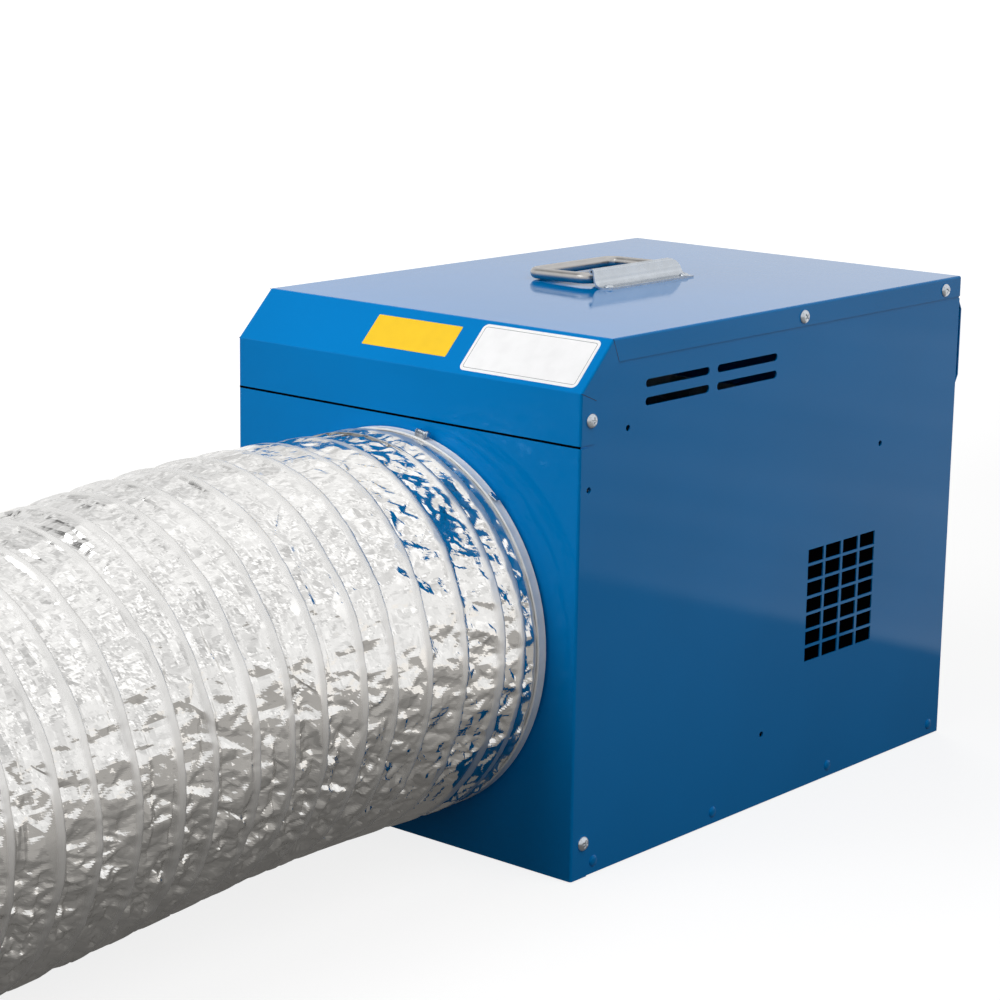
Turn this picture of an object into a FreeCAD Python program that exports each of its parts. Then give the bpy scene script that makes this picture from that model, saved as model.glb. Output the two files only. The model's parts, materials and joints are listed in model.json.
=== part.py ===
import FreeCAD, Part
import math
import os
import re

import Sketcher

# Commercial fan heater: sheet-steel casing on the floor, round outlet at the front (-Y), foil duct on the
# outlet, carrying handle on the lid (+Z), intake and controls at the rear (+Y). Millimetres; the origin is on
# the floor, at the centre of the casing.

SIZES = {
    # casing sheets
    "casing_width": 363.0,
    "casing_depth": 534.0,
    "sheet": 1.2,
    "bend_radius": 2.0,
    "nose_chamfer": 37.0,
    "lid_strip": 40.2,
    "lid_gap": 5.0,
    "seam_gap": 1.9,
    "lid_flange": 18.0,
    "panel_return": 19.5,
    "return_cut": 9.0,
    "base_flange": 22.0,
    "rear_flange": 18.0,
    "rear_gap": 2.0,
    # side vents: slots measured from the front face and the lid, grille from the front face and the floor
    "slot_length": 82.0,
    "slot_width": 6.4,
    "slot_start": 80.0,
    "slot_step_back": 92.5,
    "slot_drop": 53.6,
    "slot_step_up": 14.2,
    "grille_start": 311.6,
    "grille_base": 111.5,
    "cell_length": 22.9,
    "cell_height": 12.0,
    "grille_bar": 3.2,
    "grille_rail": 2.3,
    "spare_hole_radius": 2.5,
    # casing screws and rivets
    "screw_head_radius": 5.8,
    "screw_head_height": 3.4,
    "screw_radius": 2.9,
    "screw_length": 10.0,
    "screw_clearance": 0.1,
    "recess_length": 6.0,
    "recess_width": 1.3,
    "recess_depth": 1.8,
    "nose_screw_back": 12.6,
    "nose_screw_drop": 59.0,
    "lid_screw_drop": 10.2,
    "lid_screw_middle": 289.0,
    "lid_screw_inset": 27.0,
    "foot_screw_back": 14.0,
    "foot_screw_height": 28.2,
    "rivet_head_radius": 4.6,
    "rivet_head_height": 1.7,
    "rivet_radius": 2.4,
    "rivet_length": 5.0,
    "rivet_height": 10.0,
    "rivet_front": 29.0,
    "rivet_second": 186.0,
    "rivet_third": 354.0,
    "rivet_inset": 16.0,
    "rear_screw_inset": 11.0,
    "rear_screw_low": 40.0,
    "rear_screw_drop": 14.0,
    # outlet, duct end and clip
    "outlet_clearance": 28.0,
    "spigot_radius": 150.0,
    "spigot_wall": 1.0,
    "spigot_reach": 45.0,
    "spigot_depth": 42.0,
    "spigot_flange": 18.0,
    "sleeve_gap": 0.3,
    "clip_thickness": 1.0,
    "clip_width": 9.0,
    "clip_stand_off": 2.0,
    "clip_housing_length": 17.0,
    "clip_housing_height": 9.0,
    "clip_angle": 10.75,
    "clip_tail_angle": 41.8,
    "clip_screw_radius": 3.0,
    "clip_screw_length": 24.0,
    # foil duct
    "duct_wall": 1.5,
    "duct_cuff_wall": 2.4,
    "duct_cuff": 14.0,
    "duct_crest": 5.2,
    "duct_start_gap": 0.5,
    "duct_in_view": 590.0,
    "duct_hump": 6.0,
    "duct_slack": 1.3,
    "duct_flat": 3.0,
    "first_rib": 30.1,
    "second_rib": 53.1,
    "third_rib": 96.0,
    "open_start": 117.5,
    "duct_turns": 13,
    "stored_turns": 56,
    "stored_pitch": 2.6,
    "floor_gap": 0.3,
    # carrying handle on the lid, measured from the front face and the lid's top
    "handle_front": 231.0,
    "handle_length": 121.0,
    "handle_edge": 22.0,
    "bracket_sheet": 1.5,
    "barrel_across": -3.0,
    "barrel_height": 7.0,
    "crown_across": 2.9,
    "crown_height": 16.9,
    "bail_rod_radius": 4.8,
    "bail_fit": 0.08,
    "bail_reach": 63.0,
    "bail_bend": 10.0,
    "bail_inset": 5.5,
    "bail_tilt": 1.0,
    "knuckle_gap": 1.2,
    "handle_screw_radius": 2.4,
    "handle_screw_head": 4.2,
    "handle_screw_inset": 8.0,
    "handle_screw_edge": 0.6,
    "ramp_foot": 15.0,
    # air tunnel, bulkhead and heating rings
    "tunnel_wall": 1.2,
    "tunnel_setback": 27.0,
    "bulkhead_back": 20.0,
    "bulkhead_margin": 15.5,
    "bulkhead_foot": 25.0,
    "ring_rod_radius": 4.2,
    "ring_radius": 55.0,
    "ring_step": 35.0,
    "ring_back": 90.0,
    "ring_row": 15.0,
    "ring_leg_spread": 10.0,
    "ring_leg_over": 18.0,
    "ring_leg_root": 0.5,
    "ring_hole_gap": 0.3,
    "support_thickness": 3.0,
    "support_margin": 9.0,
    "wall_nut_radius": 8.0,
    "wall_nut_height": 8.0,
    "cutout_radius": 9.0,
    "cutout_height": 10.0,
    "cutout_back": 55.0,
    # fan and motor, along the outlet's axis
    "shaft_radius": 6.0,
    "shaft_fit": 0.03,
    "fan_tip_gap": 5.0,
    "fan_hub_radius": 42.0,
    "fan_hub_length": 46.0,
    "fan_hub_back": -40.0,
    "blade_thickness": 2.5,
    "blade_chord": 68.0,
    "blade_count": 5,
    "fan_nut_radius": 10.0,
    "fan_nut_length": 8.0,
    "motor_back": 46.0,
    "motor_radius": 58.0,
    "motor_length": 108.0,
    "motor_wall": 4.0,
    "shield_thickness": 8.0,
    "bearing_radius": 13.0,
    "stator_bore": 32.0,
    "stator_length": 70.0,
    "rotor_gap": 0.6,
    "arm_width": 26.0,
    "arm_thickness": 3.0,
    "post_margin": 15.0,
    "post_radius": 6.0,
    "motor_bolt_circle": 42.0,
    "motor_bolt_radius": 3.0,
    "motor_bolt_head": 5.5,
    # rear intake guard
    "intake_radius": 128.0,
    "guard_stand_off": 9.0,
    "guard_flange": 15.0,
    "guard_cell_width": 38.0,
    "guard_cell_height": 10.0,
    "guard_bar": 5.0,
    "guard_margin": 6.0,
    "guard_screw_radius": 2.4,
    "guard_screw_head": 4.2,
    # control panel at the rear
    "control_gap": 1.8,
    "control_tall": 73.0,
    "control_slope": 7.0,
    "control_proud": 4.0,
    "control_axis": 37.5,
    "window_gap": 2.0,
    "selector_across": -95.0,
    "thermostat_across": -20.0,
    "reset_across": 45.0,
    "lamp_across": 84.0,
    "lamp_step": 30.0,
    "switch_width": 36.0,
    "switch_depth": 30.0,
    "bush_radius": 5.0,
    "spindle_radius": 3.0,
    "spindle_fit": 0.05,
    "spindle_seat": 10.0,
    "knob_radius": 17.0,
    "knob_length": 15.0,
    "knob_skirt": 20.0,
    "knob_skirt_length": 3.0,
    "knob_gap": 0.8,
    "pointer_width": 5.0,
    "reset_radius": 5.0,
    "reset_fit": 0.1,
    "reset_rim": 9.5,
    "reset_rim_length": 2.0,
    "reset_body_radius": 7.5,
    "reset_body_length": 24.0,
    "reset_proud": 4.0,
    "reset_tail": 12.0,
    "lamp_radius": 5.0,
    "lamp_lens_radius": 7.0,
    "lamp_lens_length": 5.0,
    "lamp_body_length": 22.0,
    # cable gland on the rear panel
    "gland_inset": 41.5,
    "gland_drop": 26.0,
    "gland_radius": 12.5,
    "gland_bore": 7.5,
    "gland_thread": 10.0,
    "gland_flange_length": 6.0,
    "gland_inside": 12.0,
    "gland_nut_length": 14.0,
    "locknut_radius": 14.0,
    "locknut_length": 5.0,
    # electrical parts on the base pan
    "terminal_length": 70.0,
    "terminal_width": 24.0,
    "terminal_height": 30.0,
    "contactor_width": 46.0,
    "contactor_depth": 76.0,
    "contactor_height": 84.0,
    "tray_inset": 61.5,
    "tray_setback": 62.0,
    "stud_radius": 3.0,
    "stud_height": 22.0,
    "stud_nut_radius": 6.0,
    "stud_nut_height": 5.0,
    "stud_back": 130.0,
}
# Sizes that follow from those above. The duct, the intake and the control panel stack up to the casing's
# height.
WORKED_OUT = {
    "outlet_height": "spigot_radius + outlet_clearance",
    "fan_radius": "spigot_radius - fan_tip_gap",
    "post_circle": "spigot_radius + post_margin",
    "bulkhead_height": "outlet_height + spigot_radius + sleeve_gap + tunnel_wall + bulkhead_margin",
    "tunnel_front": "casing_depth / 2 - tunnel_setback",
    "control_base": "outlet_height + intake_radius + sheet + guard_flange + control_gap",
    "control_top": "control_base + control_tall",
    "control_height": "control_base + control_axis",
    "casing_height": "control_top + lid_gap + lid_flange",
    "rear_panel_height": "casing_height - lid_flange - rear_gap",
    "front_panel_height": "casing_height - nose_chamfer - lid_strip - seam_gap",
    "slot_height": "casing_height - slot_drop",
    "nose_screw_height": "casing_height - nose_screw_drop",
    "lid_screw_rear": "casing_depth - lid_screw_inset",
    "gland_across": "casing_width / 2 - gland_inset",
    "gland_height": "control_base - gland_drop",
    "rear_screw_high": "control_base - rear_screw_drop",
    "tray_across": "casing_width / 2 - tray_inset",
    "tray_back": "casing_depth / 2 - tray_setback",
}
GRILLE_COLUMNS = 4
GRILLE_ROWS = 7
RIVET_BACKS = ("rivet_front", "rivet_second", "rivet_third", "casing_depth - rivet_inset")
REAR_SCREW_HEIGHTS = ("rear_screw_low", "(rear_screw_low + rear_screw_high) / 2", "rear_screw_high")
SPARE_HOLES = ((59.0, 349.0), (414.8, 286.0), (252.0, 61.3))
RETURN_SPARE_HOLE = (11.3, 308.0)
GUARD_SCREW_ANGLES = (45, 135, 225, 315)
MITRE = "(sqrt(2) - 1)"
FLAT_LIMIT = 0.001

doc = FreeCAD.newDocument("fan_heater")
dims = doc.addObject("Spreadsheet::Sheet", "dims")
CELLS = {**SIZES, **{alias: f"={text}" for alias, text in WORKED_OUT.items()}}
for row, alias in enumerate(CELLS, start=1):
    dims.set(f"A{row}", alias.replace("_", " "))
    dims.setAlias(f"B{row}", alias)
for row, value in enumerate(CELLS.values(), start=1):
    dims.set(f"B{row}", str(value))
doc.recompute()

NODES = []


def size(alias):
    """The sheet's number for one alias."""
    return float(dims.get(alias))


def linked(text):
    """An expression with each alias written as a cell of the sheet."""
    return re.sub(r"[a-z_]+", lambda m: "dims." + m[0] if m[0] in CELLS else m[0], text)


def bind(item, **properties):
    for name, text in properties.items():
        item.setExpression(name, linked(text))


def place(item, at, turn=None):
    """Put an item at three expressions, turned by a fixed rotation."""
    if turn is not None:
        item.Placement.Rotation = turn
    for axis, text in zip("xyz", at):
        item.setExpression(f"Placement.Base.{axis}", linked(text))
    return item


def keep(item, label):
    """Name an item as a piece of the object."""
    item.Label = label
    NODES.append(item)
    return item


def box(size_texts, at):
    item = doc.addObject("Part::Box", "block")
    bind(item, Length=size_texts[0], Width=size_texts[1], Height=size_texts[2])
    return place(item, at)


ALONG = {
    "x": FreeCAD.Rotation(FreeCAD.Vector(0, 1, 0), 90),
    "y": FreeCAD.Rotation(FreeCAD.Vector(1, 0, 0), -90),
    "z": FreeCAD.Rotation(),
    "-x": FreeCAD.Rotation(FreeCAD.Vector(0, 1, 0), -90),
}


def rod(axis, radius, length, at):
    """Round bar that starts at a point and runs along an axis."""
    item = doc.addObject("Part::Cylinder", "rod")
    bind(item, Radius=radius, Height=length)
    return place(item, at, ALONG[axis])


def cone(axis, radius, end_radius, length, at):
    item = doc.addObject("Part::Cone", "cone")
    bind(item, Radius1=radius, Radius2=end_radius, Height=length)
    return place(item, at, ALONG[axis])


def cut(base, *tools):
    """Base less the tools."""
    item = doc.addObject("Part::Cut", "cut")
    item.Base = base
    item.Tool = tools[0] if len(tools) == 1 else group(*tools)
    return item


def fuse(*items):
    item = doc.addObject("Part::MultiFuse", "joined")
    item.Shapes = list(items)
    item.Refine = True
    return item


def common(base, tool):
    """What base and tool share."""
    item = doc.addObject("Part::Common", "shared")
    item.Base = base
    item.Tool = tool
    return item


def group(*items):
    item = doc.addObject("Part::Compound", "group")
    item.Links = list(items)
    return item


def tube(axis, radius, bore, length, at):
    """Hollow round bar; its bore is as long as it is."""
    return cut(rod(axis, radius, length, at), rod(axis, bore, length, at))


# Radius of the ring of points that an outline starts from, before its sizes are bound
FIRST_RADIUS = 100.0


def prism(plane, points, start, depth):
    """Straight-sided solid: an outline in a plane, padded from start over depth along the plane's normal."""
    body = doc.addObject("PartDesign::Body", "prism")
    sketch = body.newObject("Sketcher::SketchObject", "outline")
    origin = next(item for item in body.Origin.OriginFeatures if item.Role == plane)
    sketch.AttachmentSupport = [(origin, "")]
    sketch.MapMode = "FlatFace"
    count = len(points)
    turns = [2 * math.pi * i / count for i in range(count)]
    ring = [FreeCAD.Vector(FIRST_RADIUS * math.cos(a), FIRST_RADIUS * math.sin(a), 0) for a in turns]
    for i in range(count):
        sketch.addGeometry(Part.LineSegment(ring[i], ring[(i + 1) % count]), False)
    for i in range(count):
        sketch.addConstraint(Sketcher.Constraint("Coincident", i, 2, (i + 1) % count, 1))
    for i, corner in enumerate(points):
        for kind, text, first in zip(("DistanceX", "DistanceY"), corner, ring[i]):
            index = sketch.addConstraint(Sketcher.Constraint(kind, -1, 1, i, 1, first))
            sketch.setExpression(f"Constraints[{index}]", linked(text))
    sketch.setExpression("AttachmentOffset.Base.z", linked(start))
    pad = body.newObject("PartDesign::Pad", "pad")
    pad.Profile = sketch
    bind(pad, Length=depth)
    return body


def shape_piece(label, shape):
    """A piece whose shape is worked out from the sheet's numbers."""
    item = doc.addObject("Part::Feature", label)
    item.Shape = shape
    return keep(item, label)


# Faces of the casing that other pieces refer to
FRONT = "-casing_depth / 2"
REAR = "casing_depth / 2"
SIDE = "casing_width / 2"
PANEL_OUT = "casing_width / 2 - sheet"
PANEL_IN = "casing_width / 2 - 2 * sheet"
STRIP_BASE = "front_panel_height + seam_gap"


def from_front(text):
    return f"({text}) - casing_depth / 2"


# Fasteners


def pan_screw(axis, head_radius, head_height, radius, length, at, outward):
    """Pan-head screw with a cross recess: head outside the seat at a point, shank the other way."""
    i = "xyz".index(axis)
    sign = "+" if outward > 0 else "-"

    def moved(distance):
        spot = list(at)
        spot[i] = f"({at[i]}) {sign} ({distance})"
        return spot

    low = f"({head_height}) * 0.55"
    bottom = at if outward > 0 else moved(low)
    top = moved(low) if outward > 0 else moved(head_height)
    head = rod(axis, head_radius, low, bottom)
    rim, crown = (head_radius, f"({head_radius}) * 0.62")
    ends = (rim, crown) if outward > 0 else (crown, rim)
    dome = cone(axis, *ends, f"({head_height}) * 0.45", top)
    start = list(at)
    if outward > 0:
        start[i] = f"({at[i]}) - ({length})"
    shank = rod(axis, radius, length, start)
    floor = moved(f"({head_height}) - recess_depth") if outward > 0 else moved(head_height)
    arms = []
    others = [k for k in range(3) if k != i]
    for wide, narrow in (others, others[::-1]):
        texts = [""] * 3
        spot = list(floor)
        texts[i] = "recess_depth"
        texts[wide] = f"({head_radius}) * 2 * recess_length / 11.6"
        texts[narrow] = "recess_width"
        spot[wide] = f"({floor[wide]}) - ({texts[wide]}) / 2"
        spot[narrow] = f"({floor[narrow]}) - recess_width / 2"
        arms.append(box(texts, spot))
    return cut(fuse(head, dome, shank), *arms)


def casing_screw(side, back, height):
    """Screw through the lid or front-panel return into a side panel."""
    at = (f"{side} * casing_width / 2", back, height)
    return pan_screw("x", "screw_head_radius", "screw_head_height", "screw_radius", "screw_length", at, side)


LID_SCREW_SPOTS = (
    (from_front("nose_screw_back"), "nose_screw_height"),
    (from_front("lid_screw_middle"), "casing_height - lid_screw_drop"),
    (from_front("lid_screw_rear"), "casing_height - lid_screw_drop"),
)
FOOT_SCREW_SPOT = (from_front("foot_screw_back"), "foot_screw_height")
keep(group(*(casing_screw(s, y, z) for s in (1, -1) for y, z in LID_SCREW_SPOTS)), "lid_screws")
keep(group(*(casing_screw(s, *FOOT_SCREW_SPOT) for s in (1, -1))), "front_panel_screws")


def base_rivet(side, back):
    """Dome rivet from a side panel into the base pan's flange."""
    at = (f"{side} * (casing_width / 2 - sheet)", from_front(back), "rivet_height")
    head_axis, shank_axis = ("x", "-x") if side > 0 else ("-x", "x")
    head = cone(head_axis, "rivet_head_radius", "rivet_head_radius * 0.5", "rivet_head_height", at)
    return fuse(head, rod(shank_axis, "rivet_radius", "rivet_length", at))


keep(group(*(base_rivet(s, y) for s in (1, -1) for y in RIVET_BACKS)), "base_rivets")


# Casing sheets


def across(radius, back, height):
    """Hole tool through both sides of the casing."""
    start = "-casing_width / 2 - screw_length"
    return rod("x", radius, "casing_width + 2 * screw_length", (start, back, height))


SCREW_HOLE = "screw_radius + screw_clearance"
lid_holes = [across(SCREW_HOLE, y, z) for y, z in LID_SCREW_SPOTS]
foot_hole = across(SCREW_HOLE, *FOOT_SCREW_SPOT)
rivet_holes = [across("rivet_radius + screw_clearance", from_front(y), "rivet_height") for y in RIVET_BACKS]
spare_holes = [across("spare_hole_radius", f"{y} - casing_depth / 2", str(z)) for y, z in SPARE_HOLES]
return_hole = across("spare_hole_radius", from_front(RETURN_SPARE_HOLE[0]), str(RETURN_SPARE_HOLE[1]))


def vent_slot(column, row_up):
    """Round-ended slot through both sides."""
    start = from_front(f"slot_start + {column} * slot_step_back")
    height = f"slot_height + {row_up} * slot_step_up"
    middle = box(
        ("casing_width", "slot_length - slot_width", "slot_width"),
        ("-casing_width / 2", f"{start} + slot_width / 2", f"{height} - slot_width / 2"),
    )
    ends = [
        across("slot_width / 2", f"{start} + slot_width / 2", height),
        across("slot_width / 2", f"{start} + slot_length - slot_width / 2", height),
    ]
    return fuse(middle, *ends)


def grille_cell(column, row_up):
    return box(
        ("casing_width", "cell_length", "cell_height"),
        (
            "-casing_width / 2",
            from_front(f"grille_start + {column} * (cell_length + grille_bar)"),
            f"grille_base + {row_up} * (cell_height + grille_rail)",
        ),
    )


slots = [vent_slot(column, row_up) for column in range(2) for row_up in range(2)]
cells = [grille_cell(column, row_up) for column in range(GRILLE_COLUMNS) for row_up in range(GRILLE_ROWS)]
side_tools = group(*slots, *cells, *spare_holes, *lid_holes, foot_hole, *rivet_holes, return_hole)

side_outline = (
    (f"{FRONT} + sheet", "0"),
    (f"{REAR} - sheet", "0"),
    (f"{REAR} - sheet", "casing_height - sheet"),
    (f"{FRONT} + nose_chamfer + sheet * {MITRE}", "casing_height - sheet"),
    (f"{FRONT} + sheet", f"casing_height - nose_chamfer - sheet * {MITRE}"),
)


REAR_SCREW_SPOTS = [
    (f"{s} * (casing_width / 2 - sheet - rear_screw_inset)", z)
    for s in (1, -1)
    for z in REAR_SCREW_HEIGHTS
]
rear_holes = [
    rod("y", SCREW_HOLE, "2 * screw_length", (x, f"{REAR} - screw_length", z)) for x, z in REAR_SCREW_SPOTS
]


def outer_bends(shape):
    """Numbers of the edges that lie on two of the casing's outside planes."""
    slant = math.sqrt(0.5)
    half_width = size("casing_width") / 2
    half_depth = size("casing_depth") / 2
    top = size("casing_height")
    planes = (
        (FreeCAD.Vector(1, 0, 0), half_width),
        (FreeCAD.Vector(-1, 0, 0), half_width),
        (FreeCAD.Vector(0, -1, 0), half_depth),
        (FreeCAD.Vector(0, 1, 0), half_depth),
        (FreeCAD.Vector(0, 0, 1), top),
        (FreeCAD.Vector(0, -slant, slant), slant * (half_depth + top - size("nose_chamfer"))),
    )
    found = []
    for number, edge in enumerate(shape.Edges, start=1):
        ends = [corner.Point for corner in edge.Vertexes]
        touched = [1 for normal, far in planes if all(abs(p.dot(normal) - far) < FLAT_LIMIT for p in ends)]
        if len(touched) == 2:
            found.append(number)
    return found


def bent_sheet(base):
    """A casing sheet with its outside bends rounded."""
    doc.recompute()
    item = doc.addObject("Part::Fillet", "bends")
    item.Base = base
    item.Edges = [(number, size("bend_radius"), size("bend_radius")) for number in outer_bends(base.Shape)]
    return item


def side_panel(side):
    """Flat side sheet with an inward flange at the rear, where the rear panel screws on."""
    start = "casing_width / 2 - 2 * sheet" if side > 0 else "sheet - casing_width / 2"
    plate = prism("YZ_Plane", side_outline, start, "sheet")
    inner = "casing_width / 2 - 2 * sheet - rear_flange" if side > 0 else "2 * sheet - casing_width / 2"
    flange = box(
        ("rear_flange", "sheet", "rear_panel_height - base_flange - 2 * sheet"),
        (inner, f"{REAR} - 2 * sheet", "base_flange + sheet"),
    )
    return cut(fuse(plate, flange), side_tools, *rear_holes)


keep(side_panel(1), "right_side_panel")
keep(side_panel(-1), "left_side_panel")

pan_outside = box(
    ("casing_width - 4 * sheet", "casing_depth - 2 * sheet", "base_flange"),
    (f"2 * sheet - {SIDE}", f"{FRONT} + sheet", "0"),
)
pan_inside = box(
    ("casing_width - 6 * sheet", "casing_depth - 4 * sheet", "base_flange"),
    (f"3 * sheet - {SIDE}", f"{FRONT} + 2 * sheet", "sheet"),
)
stud_hole = rod("z", "stud_radius + screw_clearance", "2 * sheet", ("0", "stud_back", "-sheet / 2"))
keep(cut(cut(pan_outside, pan_inside), *rivet_holes, stud_hole), "base_pan")

front_sheet = box(("casing_width", "sheet", "front_panel_height"), (f"-{SIDE}", FRONT, "0"))
return_outline = (
    (FRONT, "0"),
    (from_front("panel_return"), "0"),
    (from_front("panel_return"), "front_panel_height - return_cut"),
    (from_front("panel_return - return_cut"), "front_panel_height"),
    (FRONT, "front_panel_height"),
)
front_returns = [prism("YZ_Plane", return_outline, start, "sheet") for start in (PANEL_OUT, f"-{SIDE}")]
outlet_hole = rod("y", "spigot_radius + sleeve_gap", "4 * sheet", ("0", f"{FRONT} - sheet", "outlet_height"))
keep(bent_sheet(cut(fuse(front_sheet, *front_returns), outlet_hole, foot_hole, return_hole)), "front_panel")

lid_outline = (
    (FRONT, STRIP_BASE),
    (f"{FRONT} + sheet", STRIP_BASE),
    (f"{FRONT} + sheet", f"casing_height - nose_chamfer - sheet * {MITRE}"),
    (f"{FRONT} + nose_chamfer + sheet * {MITRE}", "casing_height - sheet"),
    (f"{REAR} - sheet", "casing_height - sheet"),
    (f"{REAR} - sheet", "casing_height - lid_flange"),
    (REAR, "casing_height - lid_flange"),
    (REAR, "casing_height"),
    (f"{FRONT} + nose_chamfer", "casing_height"),
    (FRONT, "casing_height - nose_chamfer"),
)
lid_flange_outline = (
    (FRONT, STRIP_BASE),
    (from_front("lid_flange"), STRIP_BASE),
    (from_front("lid_flange"), f"casing_height - nose_chamfer - lid_flange * {MITRE}"),
    (from_front(f"nose_chamfer + lid_flange * {MITRE}"), "casing_height - lid_flange"),
    (REAR, "casing_height - lid_flange"),
    (REAR, "casing_height"),
    (f"{FRONT} + nose_chamfer", "casing_height"),
    (FRONT, "casing_height - nose_chamfer"),
)
lid_sheet = prism("YZ_Plane", lid_outline, f"-{SIDE}", "casing_width")
lid_flanges = [prism("YZ_Plane", lid_flange_outline, start, "sheet") for start in (PANEL_OUT, f"-{SIDE}")]
HANDLE_SCREW_X = "handle_edge - handle_screw_head - handle_screw_edge"
HANDLE_SCREW_Y = [
    from_front("handle_front + handle_screw_inset"),
    from_front("handle_front + handle_length - handle_screw_inset"),
]
handle_holes = [
    rod(
        "z", "handle_screw_radius + screw_clearance", "4 * screw_length",
        (HANDLE_SCREW_X, y, "casing_height - screw_length"),
    )
    for y in HANDLE_SCREW_Y
]
keep(bent_sheet(cut(fuse(lid_sheet, *lid_flanges), *lid_holes, *handle_holes)), "lid")

# Rear panel, its screws and the intake guard

rear_sheet = box(
    ("casing_width - 2 * sheet", "sheet", "rear_panel_height"), (f"-({PANEL_OUT})", f"{REAR} - sheet", "0")
)
intake_hole = rod("y", "intake_radius", "4 * sheet", ("0", f"{REAR} - 2 * sheet", "outlet_height"))
SWITCH_WINDOW = "switch_width + 2 * window_gap"
LAMP_SPOTS = ("lamp_across", "lamp_across + lamp_step")
control_windows = [
    box(
        (SWITCH_WINDOW, "4 * sheet", SWITCH_WINDOW),
        (f"{x} - ({SWITCH_WINDOW}) / 2", f"{REAR} - 2 * sheet", f"control_height - ({SWITCH_WINDOW}) / 2"),
    )
    for x in ("selector_across", "thermostat_across")
] + [
    rod("y", f"{radius} + window_gap", "4 * sheet", (x, f"{REAR} - 2 * sheet", "control_height"))
    for radius, x in (("reset_body_radius", "reset_across"), *(("lamp_radius", x) for x in LAMP_SPOTS))
]
gland_hole = rod(
    "y", "gland_thread + screw_clearance", "4 * sheet",
    ("gland_across", f"{REAR} - 2 * sheet", "gland_height"),
)


def round_spots(radius, angles):
    """Points on a circle about the outlet's axis, as expressions for X and Z."""
    return [(f"({radius}) * cos({a})", f"outlet_height + ({radius}) * sin({a})") for a in angles]


GUARD_CIRCLE = "intake_radius + sheet + guard_flange * 0.55"
guard_spots = round_spots(GUARD_CIRCLE, GUARD_SCREW_ANGLES)
guard_holes = [
    rod("y", "guard_screw_radius + screw_clearance", "4 * screw_length", (x, f"{REAR} - 2 * screw_length", z))
    for x, z in guard_spots
]
keep(cut(rear_sheet, intake_hole, *control_windows, gland_hole, *guard_holes, *rear_holes), "rear_panel")
keep(
    group(
        *(
            pan_screw(
                "y", "screw_head_radius", "screw_head_height", "screw_radius", "screw_length",
                (x, REAR, z), 1,
            )
            for x, z in REAR_SCREW_SPOTS
        )
    ),
    "rear_panel_screws",
)
keep(
    group(
        *(
            pan_screw(
                "y", "guard_screw_head", "screw_head_height * 0.75", "guard_screw_radius", "screw_length",
                (x, f"{REAR} + sheet", z), 1,
            )
            for x, z in guard_spots
        )
    ),
    "guard_screws",
)


def guard_cells():
    """Whole cells of the guard that lie inside its face."""
    limit = size("intake_radius") - size("guard_margin")
    wide = size("guard_cell_width")
    tall = size("guard_cell_height")
    step_x = wide + size("guard_bar")
    step_z = tall + size("guard_bar")
    reach_x = int(limit // step_x) + 1
    reach_z = int(limit // step_z) + 1
    cell = ("guard_cell_width", "4 * sheet", "guard_cell_height")
    back = f"{REAR} + guard_stand_off - 2.5 * sheet"
    tools = []
    for column in range(-reach_x, reach_x + 1):
        for row_up in range(-reach_z, reach_z + 1):
            corner_x = abs(column) * step_x + wide / 2
            corner_z = abs(row_up) * step_z + tall / 2
            if math.hypot(corner_x, corner_z) < limit:
                left = f"{column} * (guard_cell_width + guard_bar) - guard_cell_width / 2"
                low = f"outlet_height + {row_up} * (guard_cell_height + guard_bar) - guard_cell_height / 2"
                tools.append(box(cell, (left, back, low)))
    return tools


guard_flange = rod("y", "intake_radius + sheet + guard_flange", "sheet", ("0", REAR, "outlet_height"))
guard_wall = rod("y", "intake_radius + sheet", "guard_stand_off", ("0", REAR, "outlet_height"))
guard_hollow = rod("y", "intake_radius", "guard_stand_off - sheet", ("0", REAR, "outlet_height"))
keep(cut(fuse(guard_flange, guard_wall), guard_hollow, *guard_cells(), *guard_holes), "intake_guard")

# Carrying handle

HANDLE_Y = from_front("handle_front")
LID_TOP = "casing_height"
CROWN = f"{LID_TOP} + crown_height"
BARREL_TOP = f"{LID_TOP} + barrel_height + bail_rod_radius + bail_fit"
RAMP_FOOT = "handle_edge - ramp_foot"
ramp_outline = (
    ("handle_edge", LID_TOP),
    ("handle_edge", f"{LID_TOP} + bracket_sheet"),
    (RAMP_FOOT, f"{LID_TOP} + bracket_sheet"),
    (f"{RAMP_FOOT} - 1.2 * bracket_sheet", f"{LID_TOP} + 2.2 * bracket_sheet"),
    ("crown_across + bracket_sheet", f"{CROWN} - 1.2 * bracket_sheet"),
    ("crown_across", CROWN),
    ("barrel_across", f"{BARREL_TOP} + bracket_sheet"),
    ("barrel_across", BARREL_TOP),
    ("crown_across - bracket_sheet / 3", f"{CROWN} - 1.6 * bracket_sheet"),
    ("crown_across", f"{CROWN} - 2.6 * bracket_sheet"),
    (f"{RAMP_FOOT} - 2.4 * bracket_sheet", f"{LID_TOP} + 1.9 * bracket_sheet"),
    (f"{RAMP_FOOT} - bracket_sheet", LID_TOP),
)
ramp = prism("XZ_Plane", ramp_outline, f"-({HANDLE_Y}) - handle_length", "handle_length")
BARREL_AT = ("barrel_across", HANDLE_Y, f"{LID_TOP} + barrel_height")
barrel = rod("y", "bail_rod_radius + bail_fit + bracket_sheet", "handle_length", BARREL_AT)
NOTCH = "bail_bend + bail_inset + knuckle_gap"
notches = [
    box(
        ("2 * bail_rod_radius + 3.8", NOTCH, "2 * crown_height"),
        ("barrel_across - bail_rod_radius - 3", y, LID_TOP),
    )
    for y in (HANDLE_Y, f"{HANDLE_Y} + handle_length - ({NOTCH})")
]
barrel_bore = rod("y", "bail_rod_radius + bail_fit", "handle_length", BARREL_AT)
keep(cut(fuse(ramp, barrel), *notches, barrel_bore, *handle_holes), "handle_bracket")
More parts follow.
